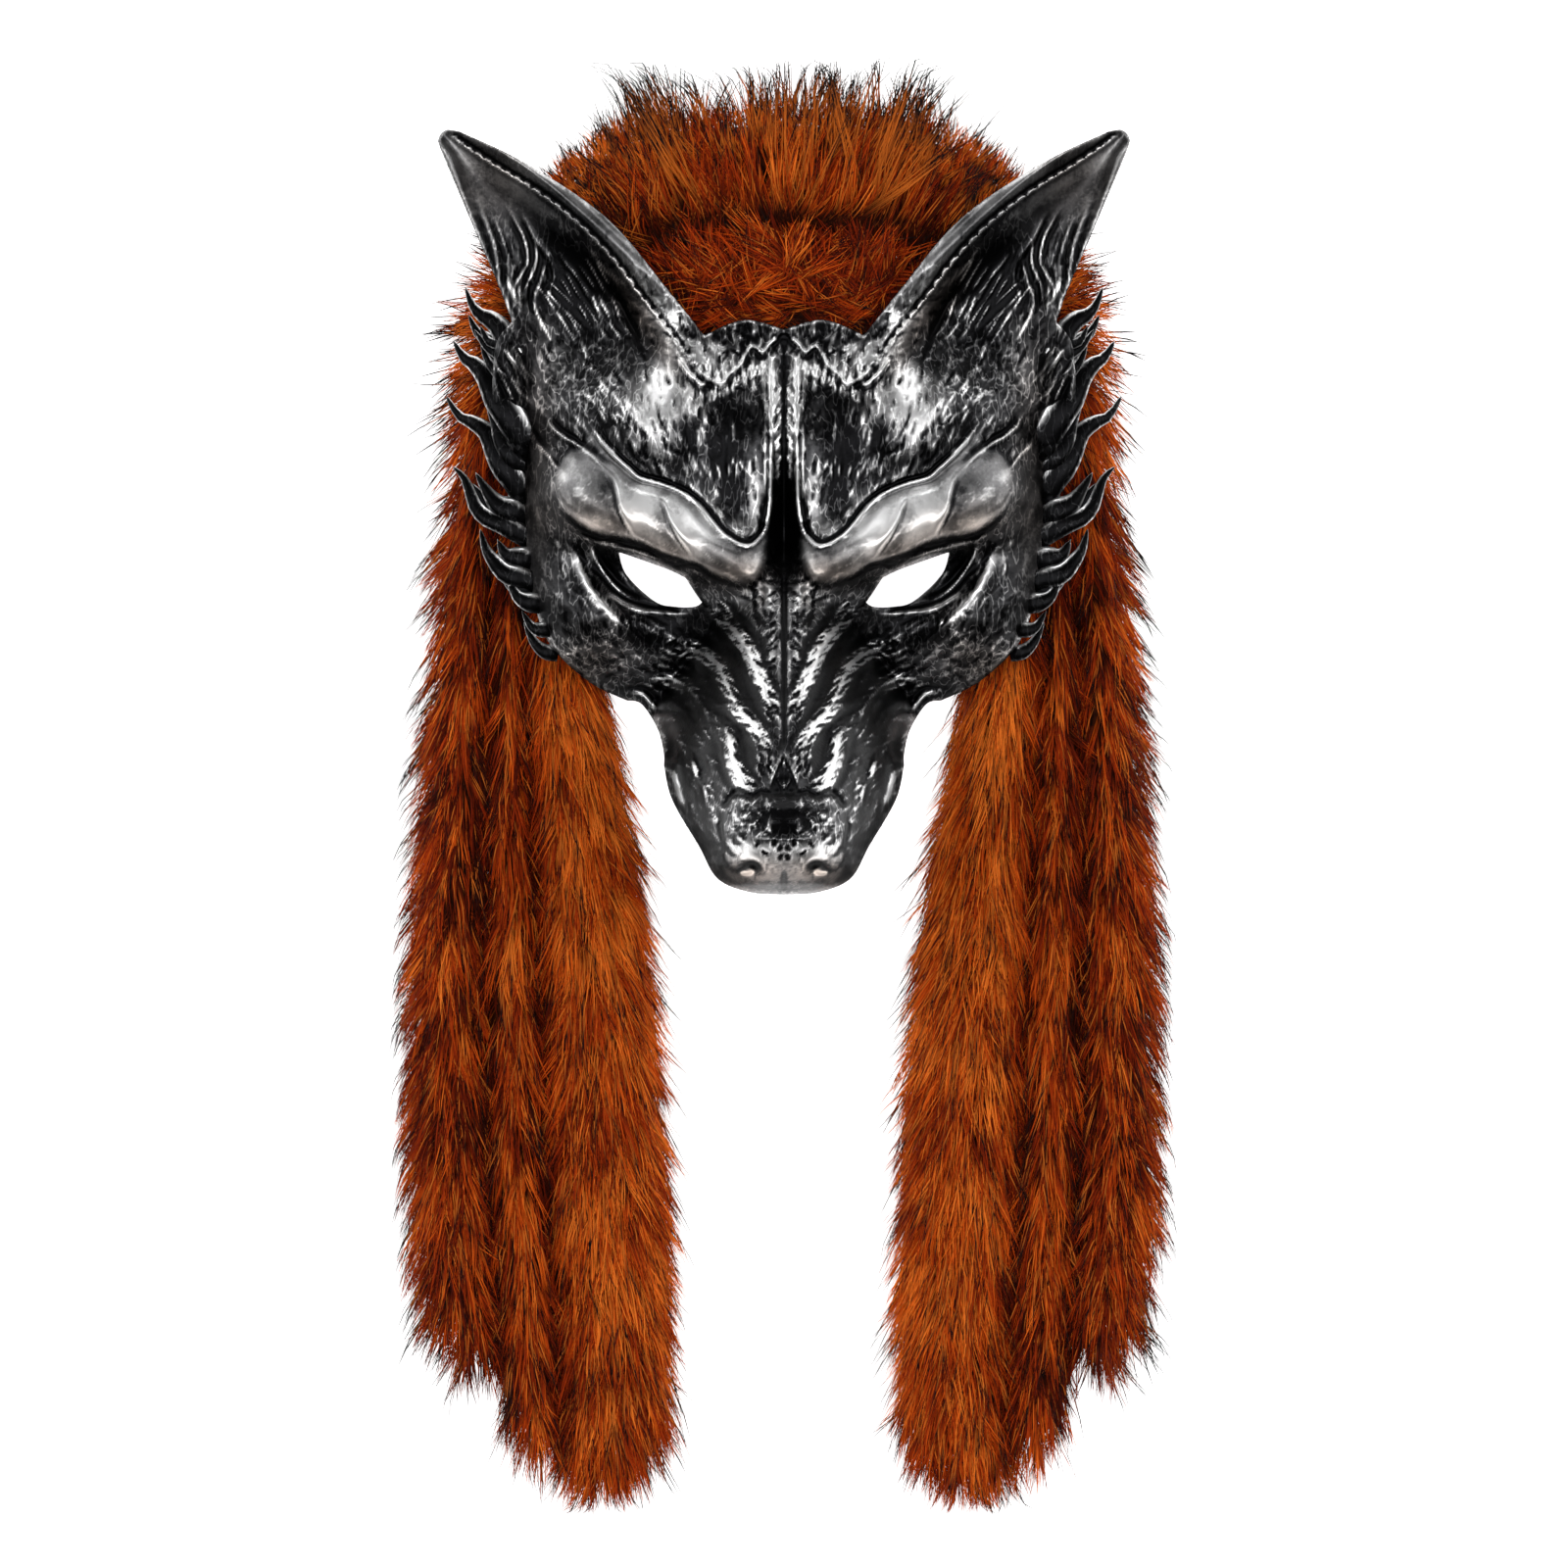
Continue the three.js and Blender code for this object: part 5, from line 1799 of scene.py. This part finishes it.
@dataclass(frozen=True)
class FurBand:
    """The headdress as one band, from the crown to the lower ends: its cross lines and heights."""

    ribs: tuple[tuple[float, float, float, float], ...] = (
        (0, 79, 0, 157), (24, 72, 53, 150), (43, 50, 86, 120), (54, 25, 102.5, 84), (58, 0, 107, 45),
        (57, -22, 113, 6), (53, -46, 117, -30), (46.5, -82, 120.5, -76), (41, -124, 123, -121),
        (37.5, -170, 124, -168), (35.5, -216, 122, -214), (35, -258, 117, -256), (37, -298, 112, -298),
    )
    heights: tuple[float, ...] = (42, 37, 30, 25, 23, 22, 23, 24, 24, 24, 24, 23, 22)
    splits: tuple[float, ...] = (0, 0.455, 0.7, 1)
    height_shares: tuple[float, ...] = (1, 0.94, 0.86)
    ends: tuple[float, ...] = (-289, -279, -252)
    leads: tuple[Point, ...] = ((0.2, 0), (0, 0.14), (0, 0.26))  # how much sooner each side of an end closes
    inner_inset: float = 6.0  # the skin lies this far inside the hair's outline
    outer_inset: float = 4.5
    section: tuple[Point, ...] = (
        (-0.78, 0), (-1, 0.3), (-0.93, 0.7), (-0.55, 0.94), (0, 1),
        (0.55, 0.94), (0.93, 0.7), (1, 0.3), (0.78, 0),
    )

    def edges(self, along: Array) -> tuple[Array, Array]:
        """Find the band's edges.

        Args:
            along: Places, counted in cross lines from the crown.

        Returns:
            Points on its inner and on its outer edge.
        """
        ribs = np.asarray(self.ribs, float)
        inner = spline_at(ribs[:, :2], along)
        outer = spline_at(ribs[:, 2:], along)
        way = unit(outer - inner)
        return inner + way * self.inner_inset, outer - way * self.outer_inset

    def point(self, along: Array, across: Array) -> Array:
        """Points between the two edges."""
        inner, outer = self.edges(along)
        return inner + (outer - inner) * np.asarray(across)[:, None]

    def height(self, along: Array) -> Array:
        """Height of the band over the floor."""
        return np.interp(along, np.arange(len(self.heights)), self.heights)

    def end(self, roll: int) -> float:
        """Place along the band at which a roll's lower end is reached."""
        places = np.linspace(6, len(self.ribs) - 1, 400)
        inner, _ = self.edges(places)
        return float(np.interp(-self.ends[roll], -inner[:, 1], places))


@dataclass
class FurRoll:
    """One roll of the band: its surface, as the wool and the hair both need it."""

    band: FurBand
    roll: int
    gap: float = 5.0  # between the hair roots of two hanging rolls
    wool_gap: float = 0.2

    def __post_init__(self) -> None:
        """Find where the roll ends and starts to close."""
        self.low = self.band.splits[self.roll]
        self.high = self.band.splits[self.roll + 1]
        self.last = self.band.end(self.roll)
        end = np.array([self.last, self.last - 0.01])
        left, right = self.band.edges(end)
        rounding = 0.5 * (self.high - self.low) * np.linalg.norm(right[0] - left[0])
        pace = np.linalg.norm(left[0] - left[1]) / 0.01
        self.closing_from = self.last - rounding / pace

    def closing(self, along: Array) -> Array:
        """Share of its full width that the roll has towards its rounded end."""
        turn = np.clip((along - self.closing_from) / (self.last - self.closing_from), 0, 1)
        return np.sqrt(np.maximum(0, 1 - turn**2))

    def surface(self, along: Array, around: Array, gap: float | None = None) -> Array:
        """Points of the roll's surface.

        Args:
            along: Places along the band, in cross lines from the crown.
            around: Share of the way round the section, from its inner foot over the top to its outer foot.
            gap: What stays free between two rolls, or None for the gap between their hair roots.

        Returns:
            One point for each place, on the positive side.
        """
        far_side = np.where(along < 0, -1.0, 1.0)
        along = np.abs(along)
        inner = self.band.point(along, np.full(len(along), self.low))
        outer = self.band.point(along, np.full(len(along), self.high))
        width = np.linalg.norm(outer - inner, axis=1)
        closing = self.closing(along)
        if gap is None:
            gap = self.gap * smoothstep(1.5, 4.0, along)
        lead_in, lead_out = self.band.leads[self.roll]
        side_closing = np.where(around < 0.5, self.closing(along + lead_in), self.closing(along + lead_out))
        half = (width / 2 - gap / 2) * side_closing
        rise = self.band.height(along) * self.band.height_shares[self.roll] * (0.4 + 0.6 * closing)
        shape = np.asarray(self.band.section, float)
        smooth = spline(shape, 6)
        stations = np.linspace(0, 1, len(smooth))
        out = np.interp(around, stations, smooth[:, 0])
        up = np.interp(around, stations, smooth[:, 1])
        across = (outer - inner) / np.maximum(width, 1e-6)[:, None]
        flat = (inner + outer) / 2 + across * (out * half)[:, None]
        return np.column_stack([flat[:, 0] * far_side, flat[:, 1], np.maximum(up, 0) * rise])

    def across(self, along: Array) -> Array:
        """Unit direction from the inner to the outer edge, on the flat."""
        inner, outer = self.band.edges(np.abs(along))
        way = unit(outer - inner)
        way[along < 0, 0] *= -1
        return way

    def middle(self, along: Array) -> Array:
        """Points half way across the roll."""
        return self.band.point(along, np.full(len(along), (self.low + self.high) / 2))

    def down(self, along: Array) -> Array:
        """Unit direction down the band, on the flat."""
        place = np.maximum(np.abs(along), 0.02)
        way = unit(self.middle(place + 0.02) - self.middle(place - 0.02))
        way[along < 0, 0] *= -1
        return way


@dataclass
class WoolRoll:
    """The dense wool of a roll, which carries the hair."""

    roll: FurRoll
    name: str
    node: str
    stations: int = 90
    around: int = 34

    def build(self, material: bpy.types.Material) -> bpy.types.Object:
        """Build the closed roll over the crown and down both sides.

        Args:
            material: The wool's material.

        Returns:
            The object that stands for the roll.
        """
        share = np.linspace(0, 1, self.stations + 1)
        along = self.roll.last * (1 - (1 - share) ** 1.25)
        along[-1] = self.roll.last - 1e-4
        ring = np.linspace(0, 1, self.around)
        gap = self.roll.wool_gap
        points = self.roll.surface(np.repeat(along, self.around), np.tile(ring, len(along)), gap)
        points = points.reshape(len(along), self.around, 3)
        centre = points.mean(axis=1, keepdims=True) * np.array([1, 1, 0.8])
        wave = 1 - 0.03 * (1 + np.sin(along * 9.0)[:, None, None] * np.sin(ring * 17.0)[None, :, None])
        points = centre + (points - centre) * wave
        points[..., 2] = np.maximum(points[..., 2], 0.05)
        left = points[:0:-1] * np.array([-1, 1, 1])
        rings = np.concatenate([left, points])
        count = len(rings)
        every = np.vstack([rings.reshape(-1, 3), rings[:1].mean(axis=1), rings[-1:].mean(axis=1)])
        faces = [(first, *rest[::-1]) for first, *rest in tube_faces(count - 1, self.around)]
        uv_x = np.repeat(np.linspace(0.01, 0.99, count), self.around)
        uv_y = np.tile(np.linspace(0.01, 0.99, self.around), count)
        uv = np.vstack([np.column_stack([uv_x, uv_y]), [[0.01, 0.5], [0.99, 0.5]]])
        made = make_object(self.name, frame_points(every), *joined_corners(faces), {}, uv)
        made.data.materials.append(material)
        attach(made, BODY)
        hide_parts(self.node)
        return made


@dataclass(frozen=True)
class HairStyle:
    """How the hair of a roll grows: lengths in millimetres, shares of the whole where no unit is given."""

    clumps: int
    strands: int
    length: Point
    crown_length: Point
    tone: float
    crown_tone: float
    inner_shade: float = 0.0
    outer_shade: float = 0.0
    side_shade: float = 0.0  # beside the ears
    parting_shade: float = 0.52
    guard_share: float = 0.12
    free_guards: float = 0.0
    crown_jitter: float = 0.25
    crown_overlap: float = 0.0  # how much longer the hair at the outer edge of the crown's part is
    crown_turn: float = 1.0  # which way the hair at the inner edge lies over the crown, -1 to the forehead
    dark_clumps: float = 0.0  # share of the crown's clumps that are long and black at their tips
    clump_spread: float = 1.7
    end_cut: float = 0.22  # share of the length that is missing at the lower end
    lift: float = 0.38
    inner_splay: float = 0.15
    outer_splay: float = 0.15
    glow: Triple = (0.0, 1.0, 0.0)  # place and reach along the band, and how much lighter


@dataclass(frozen=True)
class Room:
    """How far hair may stand out on each side, in millimetres over the eye line."""

    side: Point = (121.5, 9.0)
    top: Point = (161.0, 12.0)
    bottom: Point = (296.0, 8.0)
    floor: float = 0.25
    soft: float = 2.5

    def hold(self, spine: Array) -> Array:
        """Ease points back that would stand out too far.

        Args:
            spine: Points of the strands.

        Returns:
            The points, all within the room.
        """
        x, y, z = spine[..., 0], spine[..., 1], spine[..., 2]
        x = np.sign(x) * self.ease(np.abs(x), *self.side)
        y = np.where(y > 0, self.ease(y, *self.top), -self.ease(-y, *self.bottom))
        low = z - self.floor
        z = self.floor + np.where(
            low < self.soft, self.soft * np.exp(np.minimum(0, (low - self.soft) / self.soft)), low
        )
        return np.stack([x, y, z], axis=-1)

    @staticmethod
    def ease(value: Array, start: float, room: float) -> Array:
        """Leave values alone up to a start and squeeze what lies beyond into the room."""
        over = np.maximum(0, value - start)
        return np.minimum(value, start) + room * np.tanh(over / room)


@dataclass
class HairCoat:
    """The long hair of one roll on one side: tapered curved ribbons in clumps."""

    roll: FurRoll
    style: HairStyle
    seed: int
    rings: int = 4
    half_width: float = 0.165
    parting_width: float = 4.2
    cross_over: float = 0.05  # clumps start this far over the middle line, so that it isn't a parting
    eye_place: Point = (3.9, 1.2)  # place and reach along the band of the shorter hair beside the eye
    temple_place: Point = (3.6, 1.3)  # place and reach of the broader hair at the edges
    strand_length: Point = (0.55, 1.15)  # share of its clump's length that a strand has
    gather: float = 0.50  # how far a clump has closed at its tip
    wild_share: float = 0.05  # strands that leave their clump
    room: Room = Room()

    def __post_init__(self) -> None:
        """Start the coat's own random numbers."""
        self.rng = np.random.default_rng(self.seed)

    def build(self, name: str, material: bpy.types.Material, side: int) -> bpy.types.Object:
        """Grow the hair.

        Args:
            name: Name of the piece.
            material: The hair's material.
            side: 1 for the positive side and -1 for the other one.

        Returns:
            The object with all ribbons.
        """
        spine, width_way, tone, half = self.grow()
        rings = spine.shape[1]
        share = np.linspace(0, 1, rings)
        taper = half[:, None] * np.interp(share, (0, 0.34, 0.67, 1), (0.8, 1, 0.8, 0.0))[None, :]
        left = spine - width_way * taper[..., None]
        right = spine + width_way * taper[..., None]
        count = len(spine)
        pairs = np.stack([left[:, :-1], right[:, :-1]], axis=2).reshape(count, -1, 3)
        points = np.concatenate([pairs, spine[:, -1:]], axis=1)
        per = points.shape[1]
        along = np.concatenate([np.repeat(share[:-1], 2), [1.0]])
        pattern = [(2 * k, 2 * k + 1, 2 * k + 3, 2 * k + 2) for k in range(rings - 2)]
        tip = (2 * (rings - 2), 2 * (rings - 2) + 1, per - 1)
        corners_one = np.concatenate([np.ravel(pattern), tip]).astype(int)
        counts_one = np.array([4] * len(pattern) + [3])
        every = (points * np.array([side, 1, 1])).reshape(-1, 3)
        corners = (corners_one[None, :] + per * np.arange(count)[:, None]).ravel()
        counts = np.tile(counts_one, count)
        tones = np.concatenate([np.repeat(tone[:, :-1], 2, axis=1), tone[:, -1:]], axis=1).ravel()
        places = np.tile(along, count)
        tick = np.concatenate([np.tile([-1.0, 1.0], rings - 1), [0.0]])
        uv = np.column_stack([0.02 + 0.96 * tones + 0.004 * np.tile(tick, count), 0.02 + 0.96 * places])
        made = make_object(name, frame_points(every), corners, counts, {"tone": tones, "along": places}, uv)
        made.data.materials.append(material)
        made.visible_glossy = False
        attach(made, BODY)
        return made

    def grow(self) -> tuple[Array, Array, Array, Array]:
        """Work out every strand of the positive side.

        Returns:
            The strands' spines, the way each is wide, their tones and their half widths.
        """
        rng, style = self.rng, self.style
        along, around = self.scatter()
        clump = rng.integers(0, style.clumps, style.strands)
        pace = self.pace(along)
        spread = style.clump_spread
        own_along = along[clump] + rng.normal(0, spread, style.strands) / pace[clump]
        own_along = np.minimum(own_along, 2 * self.end() - own_along)
        own_around = np.clip(around[clump] + rng.normal(0, spread, style.strands) / 60, 0.05, 0.95)
        roots = self.roll.surface(own_along, own_around)
        clump_roots = self.roll.surface(along, around)
        axes = self.axes(along, around, self.clump_length(along, around))
        edge = smoothstep(0.6, 0.85, np.abs(around - 0.5) * 2)[clump]
        dark = (rng.random(style.clumps) < style.dark_clumps * self.crown_share(along))[clump]
        bundle = rng.random(style.clumps)[clump] < style.free_guards * edge
        guard = rng.random(style.strands) < style.guard_share + 0.7 * bundle + 0.8 * dark
        own_length = rng.uniform(*self.strand_length, style.strands) * np.where(guard, 1.25, 1.0 - 0.2 * edge)
        wisp = 1 + 1.2 * (1 - smoothstep(0.7, 1.3, np.abs(along[clump])))
        own_length = own_length * np.where(dark & guard, wisp, 1.0)
        share = np.linspace(0, 1, self.rings)
        spine = (axes[clump] - clump_roots[clump][:, None, :]) * own_length[:, None, None]
        gather = 1 - self.gather * share[None, :, None] ** 1.3
        offset = (roots - clump_roots[clump])[:, None, :] * gather
        spine = spine + clump_roots[clump][:, None, :] + offset
        stray = rng.normal(0, 1, (style.strands, 1, 3)) * (share**1.4)[None, :, None]
        wild = np.where(rng.random(style.strands) < self.wild_share, 2.0, np.where(guard, 1.3, 0.8))
        spine = self.room.hold(spine + stray * wild[:, None, None])
        tone, half = self.colours(own_along, own_around, clump, guard)
        place, reach = self.temple_place
        temple = bell((own_along - place) / reach)
        half = half * (1 + (0.35 + 0.5 * temple) * edge)
        patchy = 0.65 + 0.35 * np.sin(own_along * 4.7 + 1.3) * np.sin(own_along * 11.0)
        shade = np.where(guard, 0.0, style.parting_shade) * (1 - self.crown_share(own_along)) * patchy
        tone = tone[:, None] - shade[:, None] * self.near_parting(spine)
        tone = np.maximum(tone, 0.0)
        width_way = self.ribbon_way(spine, self.normals(own_along, own_around))
        return spine, width_way, tone, half

    def clump_length(self, along: Array, around: Array) -> Array:
        """Draw the length of each clump.

        Args:
            along: The clumps' places along the band.
            around: Their places around the section.

        Returns:
            Lengths in millimetres.
        """
        style, crown = self.style, self.crown_share(along)
        low, high = (side + (top - side) * crown for side, top in zip(style.length, style.crown_length))
        length = self.rng.uniform(low, high) * (1 - style.end_cut * (1 - self.roll.closing(np.abs(along))))
        length = length * (1 + style.crown_overlap * crown * smoothstep(0.5, 0.85, around))
        place, reach = self.eye_place
        return length * (1 - 0.6 * (bell((along - place) / reach) * smoothstep(0.6, 0.25, around)))

    def near_parting(self, spine: Array) -> Array:
        """Tell how near the strands are to the lines between two rolls.

        Args:
            spine: Points of the strands.

        Returns:
            For each point 1 on a line and 0 far off it.
        """
        places = np.linspace(0, self.roll.last, 90)
        nearest = np.full(spine.shape[:2], 1e3)
        for split in self.roll.band.splits[1:-1]:
            line = self.roll.band.point(places, np.full(len(places), split))
            for ring in range(spine.shape[1]):
                away = spine[:, ring, None, :2] - line[None, :, :]
                nearest[:, ring] = np.minimum(nearest[:, ring], np.sqrt((away**2).sum(axis=2).min(axis=1)))
        return bell(nearest / self.parting_width)

    def end(self) -> float:
        """Last place along the band at which hair is rooted."""
        return self.roll.last - 0.03

    @staticmethod
    def crown_share(along: Array) -> Array:
        """Share by which a place belongs to the crown."""
        return 1 - smoothstep(1.2, 3.8, np.abs(along))

    def scatter(self) -> tuple[Array, Array]:
        """Scatter the clumps over the roll, as many on each square millimetre.

        Returns:
            Their places along the band and around the section.
        """
        rng, count = self.rng, self.style.clumps
        tries = count * 4
        along = rng.uniform(-self.cross_over, self.end(), tries)
        around = rng.uniform(0.08, 0.92, tries)
        wide = np.linalg.norm(np.subtract(*self.roll.band.edges(np.abs(along))), axis=1)
        chance = self.pace(along) * (wide * self.roll.closing(along) + 12)
        chance = chance * (1 + 0.9 * smoothstep(0.6, 0.9, np.abs(around - 0.5) * 2))
        keep = rng.random(tries) < chance / chance.max()
        while keep.sum() < count:
            keep[rng.integers(0, tries, tries // 10)] = True
        picks = rng.permutation(np.nonzero(keep)[0])[:count]
        return along[picks], around[picks]

    def pace(self, along: Array) -> Array:
        """Millimetres down the band for each cross line."""
        start = np.maximum(np.abs(along) - 0.05, 0)
        return np.linalg.norm(self.roll.middle(start + 0.1) - self.roll.middle(start), axis=1) / 0.1

    def normals(self, along: Array, around: Array) -> Array:
        """Unit normals of the roll's surface."""
        ahead = self.roll.surface(along + 0.01, around) - self.roll.surface(along - 0.01, around)
        over = self.roll.surface(along, around + 0.01) - self.roll.surface(along, around - 0.01)
        return unit(np.cross(ahead, over))

    def axes(self, along: Array, around: Array, length: Array) -> Array:
        """Grow the spine of each clump: up from the skin, then over and down.

        Args:
            along: The clumps' places along the band.
            around: Their places around the section.
            length: Their lengths.

        Returns:
            The points of each spine, from its root.
        """
        rng, count = self.rng, len(along)
        normal = self.normals(along, around)
        steep = np.clip(normal[:, 2], 0, 1)
        flat_across = self.roll.across(along)
        flat_down = self.roll.down(along)
        crown = self.crown_share(along)
        inner, outer = self.style.inner_splay, self.style.outer_splay
        outward = np.interp(around, (0, 0.25, 0.5, 0.75, 1), (-inner, -0.6 * inner, 0, 0.6 * outer, outer))
        outward = outward + (1 - self.roll.closing(along)) * (around - 0.5) * 0.3
        turn = np.interp(around, (0.08, 0.5), (self.style.crown_turn, 1))
        sideways = outward * (1 - crown) + crown * turn
        lay = flat_down * (1 - 0.94 * crown)[:, None] + flat_across * sideways[:, None]
        jitter = 0.15 + (self.style.crown_jitter - 0.15) * crown
        lay = unit(lay + rng.normal(0, 1, (count, 2)) * jitter[:, None])
        lay = np.column_stack([lay, np.zeros(count)])
        share = np.linspace(0, 1, self.rings)
        middle = (share[1:] + share[:-1]) / 2
        lift = self.style.lift * rng.uniform(0.7, 1.3, count) * (0.45 + 0.55 * steep)
        bend = rng.normal(0, 0.30, (count, 1)) * np.column_stack([-lay[:, 1], lay[:, 0]])
        points = [self.roll.surface(along, around)]
        for place in middle:
            sag = np.array([0, 0, -0.42]) * place**1.5
            way = (
                normal * (lift * (1 - place) ** 0.8)[:, None]
                + lay * (0.45 + 0.9 * place)
                + np.column_stack([bend * (place - 0.3), np.zeros(count)])
                + sag
            )
            points.append(points[-1] + unit(way) * (length / (self.rings - 1))[:, None])
        return np.stack(points, axis=1)

    def colours(self, along: Array, around: Array, clump: Array, guard: Array) -> tuple[Array, Array]:
        """Choose how each strand looks.

        Args:
            along: The strands' places along the band.
            around: Their places around the section.
            clump: Number of each strand's clump.
            guard: Whether a strand is a black-tipped guard hair.

        Returns:
            Tone and half width of each strand.
        """
        rng, style = self.rng, self.style
        clump_tone = rng.normal(0, 0.18, style.clumps)
        waves = np.sin(along * 3.1 + around * 5) * 0.09 + np.sin(along * 7.3 - around * 9) * 0.09
        crown = self.crown_share(along)
        tone = style.tone + (style.crown_tone - style.tone) * crown
        tone = tone + clump_tone[clump] + waves + rng.normal(0, 0.12, len(clump))
        tone = tone - style.inner_shade * smoothstep(0.42, 0.10, around)
        tone = tone - style.outer_shade * (1 - 0.6 * crown) * smoothstep(0.58, 0.90, around)
        place, reach, lighter = style.glow
        tone = tone + lighter * bell((along - place) / reach)
        tone = tone - style.side_shade * crown * smoothstep(0.6, 1.5, np.abs(along)) * (1 - around)
        tone = np.clip(tone, 0.02, 0.86)
        half = self.half_width * rng.uniform(0.75, 1.25, len(clump))
        tone = np.where(guard, rng.uniform(0.93, 0.99, len(clump)), tone)
        half = np.where(guard, half * 0.95, half)
        return tone, half

    def ribbon_way(self, spine: Array, normal: Array) -> Array:
        """Direction in which each ribbon is wide, so that it shows its face from outside."""
        tangent = unit(np.gradient(spine, axis=1))
        facing = unit(normal + np.array([0, 0, 0.8]) + self.rng.normal(0, 0.45, normal.shape))
        return unit(np.cross(tangent, facing[:, None, :]))


@dataclass
class Headdress:
    """The three rolls of fur with their wool and their hair."""

    band: FurBand = FurBand()
    styles: tuple[HairStyle, ...] = (
        HairStyle(
            clumps=4300, strands=36000, length=(16, 26), crown_length=(11, 18), tone=0.60, crown_tone=0.45,
            crown_jitter=1.2, crown_turn=0.45, crown_overlap=1.0, inner_splay=0.30, inner_shade=-0.12,
            outer_shade=0.14, free_guards=0.30, side_shade=1.1, glow=(6.1, 1.6, 0.18),
        ),
        HairStyle(
            clumps=2400, strands=18500, length=(16, 26), crown_length=(20, 29), tone=0.52, crown_tone=0.60,
            inner_shade=0.30, outer_shade=0.12, dark_clumps=0.14, side_shade=1.2, end_cut=0.05,
        ),
        HairStyle(
            clumps=2700, strands=20500, length=(16, 24), crown_length=(7, 12), tone=0.41, crown_tone=0.64,
            outer_splay=0.55, inner_shade=0.32, free_guards=0.75, dark_clumps=0.32, glow=(2.75, 0.6, 0.25),
            end_cut=-0.15,
        ),
    )
    names: tuple[str, ...] = ("inner", "middle", "outer")

    def build(self) -> list[bpy.types.Object]:
        """Build all pieces of the headdress.

        Returns:
            Wool and hair, roll by roll.
        """
        wool = UnderFur().make()
        hair = FoxHair().make()
        made = []
        for number, (style, name) in enumerate(zip(self.styles, self.names)):
            roll = FurRoll(self.band, number)
            made.append(WoolRoll(roll, f"wool_{name}", f"fur_roll_{name}").build(wool))
            for side, label in ((1, "right"), (-1, "left")):
                coat = HairCoat(roll, style, 40 + 10 * side + number)
                made.append(coat.build(f"hair_{name}_{label}", hair, side))
        return made


# The studio


@dataclass
class Studio:
    """Camera straight above, pale floor and soft lights, alike on both sides."""

    view_width: float = 0.512  # what the square picture shows at the focus height
    focus_height: float = 0.03
    camera_height: float = 5.0
    picture_middle_y: float = 0.005
    sensor: float = 36.0
    floor_size: float = 30.0
    floor_drop: float = 0.0002
    aim: Triple = (0.0, 0.05, 0.05)
    lamps: tuple[tuple[str, Triple, float, float], ...] = (
        ("top", (0.0, 0.35, 2.2), 18.0, 1.2),
        ("side", (1.1, 0.4, 1.5), 7.0, 0.7),
        ("low_side", (1.3, 1.1, 0.65), 4.5, 0.6),
        ("back", (0.0, 1.9, 0.6), 5.0, 0.7),
        ("front", (0.0, -1.5, 1.1), 6.0, 0.8),
    )
    dim: float = 0.08
    pale: float = 1.05

    def build(self) -> None:
        """Make the camera, the floor, the lights and the world."""
        self.make_camera()
        self.make_floor()
        self.make_lights()
        self.make_world()
        bpy.context.scene.view_settings.view_transform = "Standard"

    def make_camera(self) -> None:
        """Place the camera over the middle of the picture, with its top towards the ears."""
        data = bpy.data.cameras.new("camera")
        distance = self.camera_height - self.focus_height
        data.sensor_width = self.sensor
        data.lens = self.sensor * distance / self.view_width
        data.clip_start = 0.1
        data.clip_end = 100.0
        camera = add_object("camera", data)
        camera.location = (0.0, self.picture_middle_y, self.camera_height)
        bpy.context.scene.camera = camera

    def make_floor(self) -> None:
        """Lay the floor just under the mask."""
        half = self.floor_size / 2
        mesh = bpy.data.meshes.new("floor")
        square = ((-half, -half), (half, -half), (half, half), (-half, half))
        mesh.from_pydata([(x, y, -self.floor_drop) for x, y in square], [], [(0, 1, 2, 3)])
        mesh.materials.append(PaleFloor().make())
        floor = add_object("floor", mesh)

    def make_lights(self) -> None:
        """Hang the soft lights, alike on both sides."""
        for name, place, power, size in self.lamps:
            sides = (1, -1) if place[0] else (1,)
            for side in sides:
                self.area(name, (place[0] * side, place[1], place[2]), power, size)

    def area(self, name: str, place: Triple, power: float, size: float) -> None:
        """Hang one square soft light, turned towards the mask.

        Args:
            name: Its name.
            place: Its place in metres.
            power: Its power in watts.
            size: Length of its side.
        """
        data = bpy.data.lights.new(name, "AREA")
        data.energy = power
        data.size = size
        light = add_object(name, data)
        light.location = place
        aim = Vector(self.aim) - Vector(place)
        light.rotation_euler = aim.to_track_quat("-Z", "Y").to_euler()

    def make_world(self) -> None:
        """A surrounding that is pale to look at and dim as a light."""
        world = bpy.data.worlds.new("surrounding")
        world.use_nodes = True
        tree = world.node_tree
        background = tree.nodes["Background"]
        background.inputs["Color"].default_value = (1, 1, 1, 1)
        seen = tree.nodes.new("ShaderNodeLightPath")
        level = tree.nodes.new("ShaderNodeMapRange")
        level.inputs["To Min"].default_value = self.dim
        level.inputs["To Max"].default_value = self.pale
        tree.links.new(seen.outputs["Is Camera Ray"], level.inputs["Value"])
        tree.links.new(level.outputs["Result"], background.inputs["Strength"])
        bpy.context.scene.world = world


def main() -> None:
    """Build the studio, the mask and the headdress, and report each piece."""
    logging.basicConfig(level=logging.INFO, format="%(name)s: %(message)s")
    Studio().build()
    made = [Mask().build(), *Headdress().build()]
    for piece in made:
        piece.data.calc_loop_triangles()
        LOG.info("%s: %d triangles", piece.name, len(piece.data.loop_triangles))


if __name__ == "__main__":
    main()
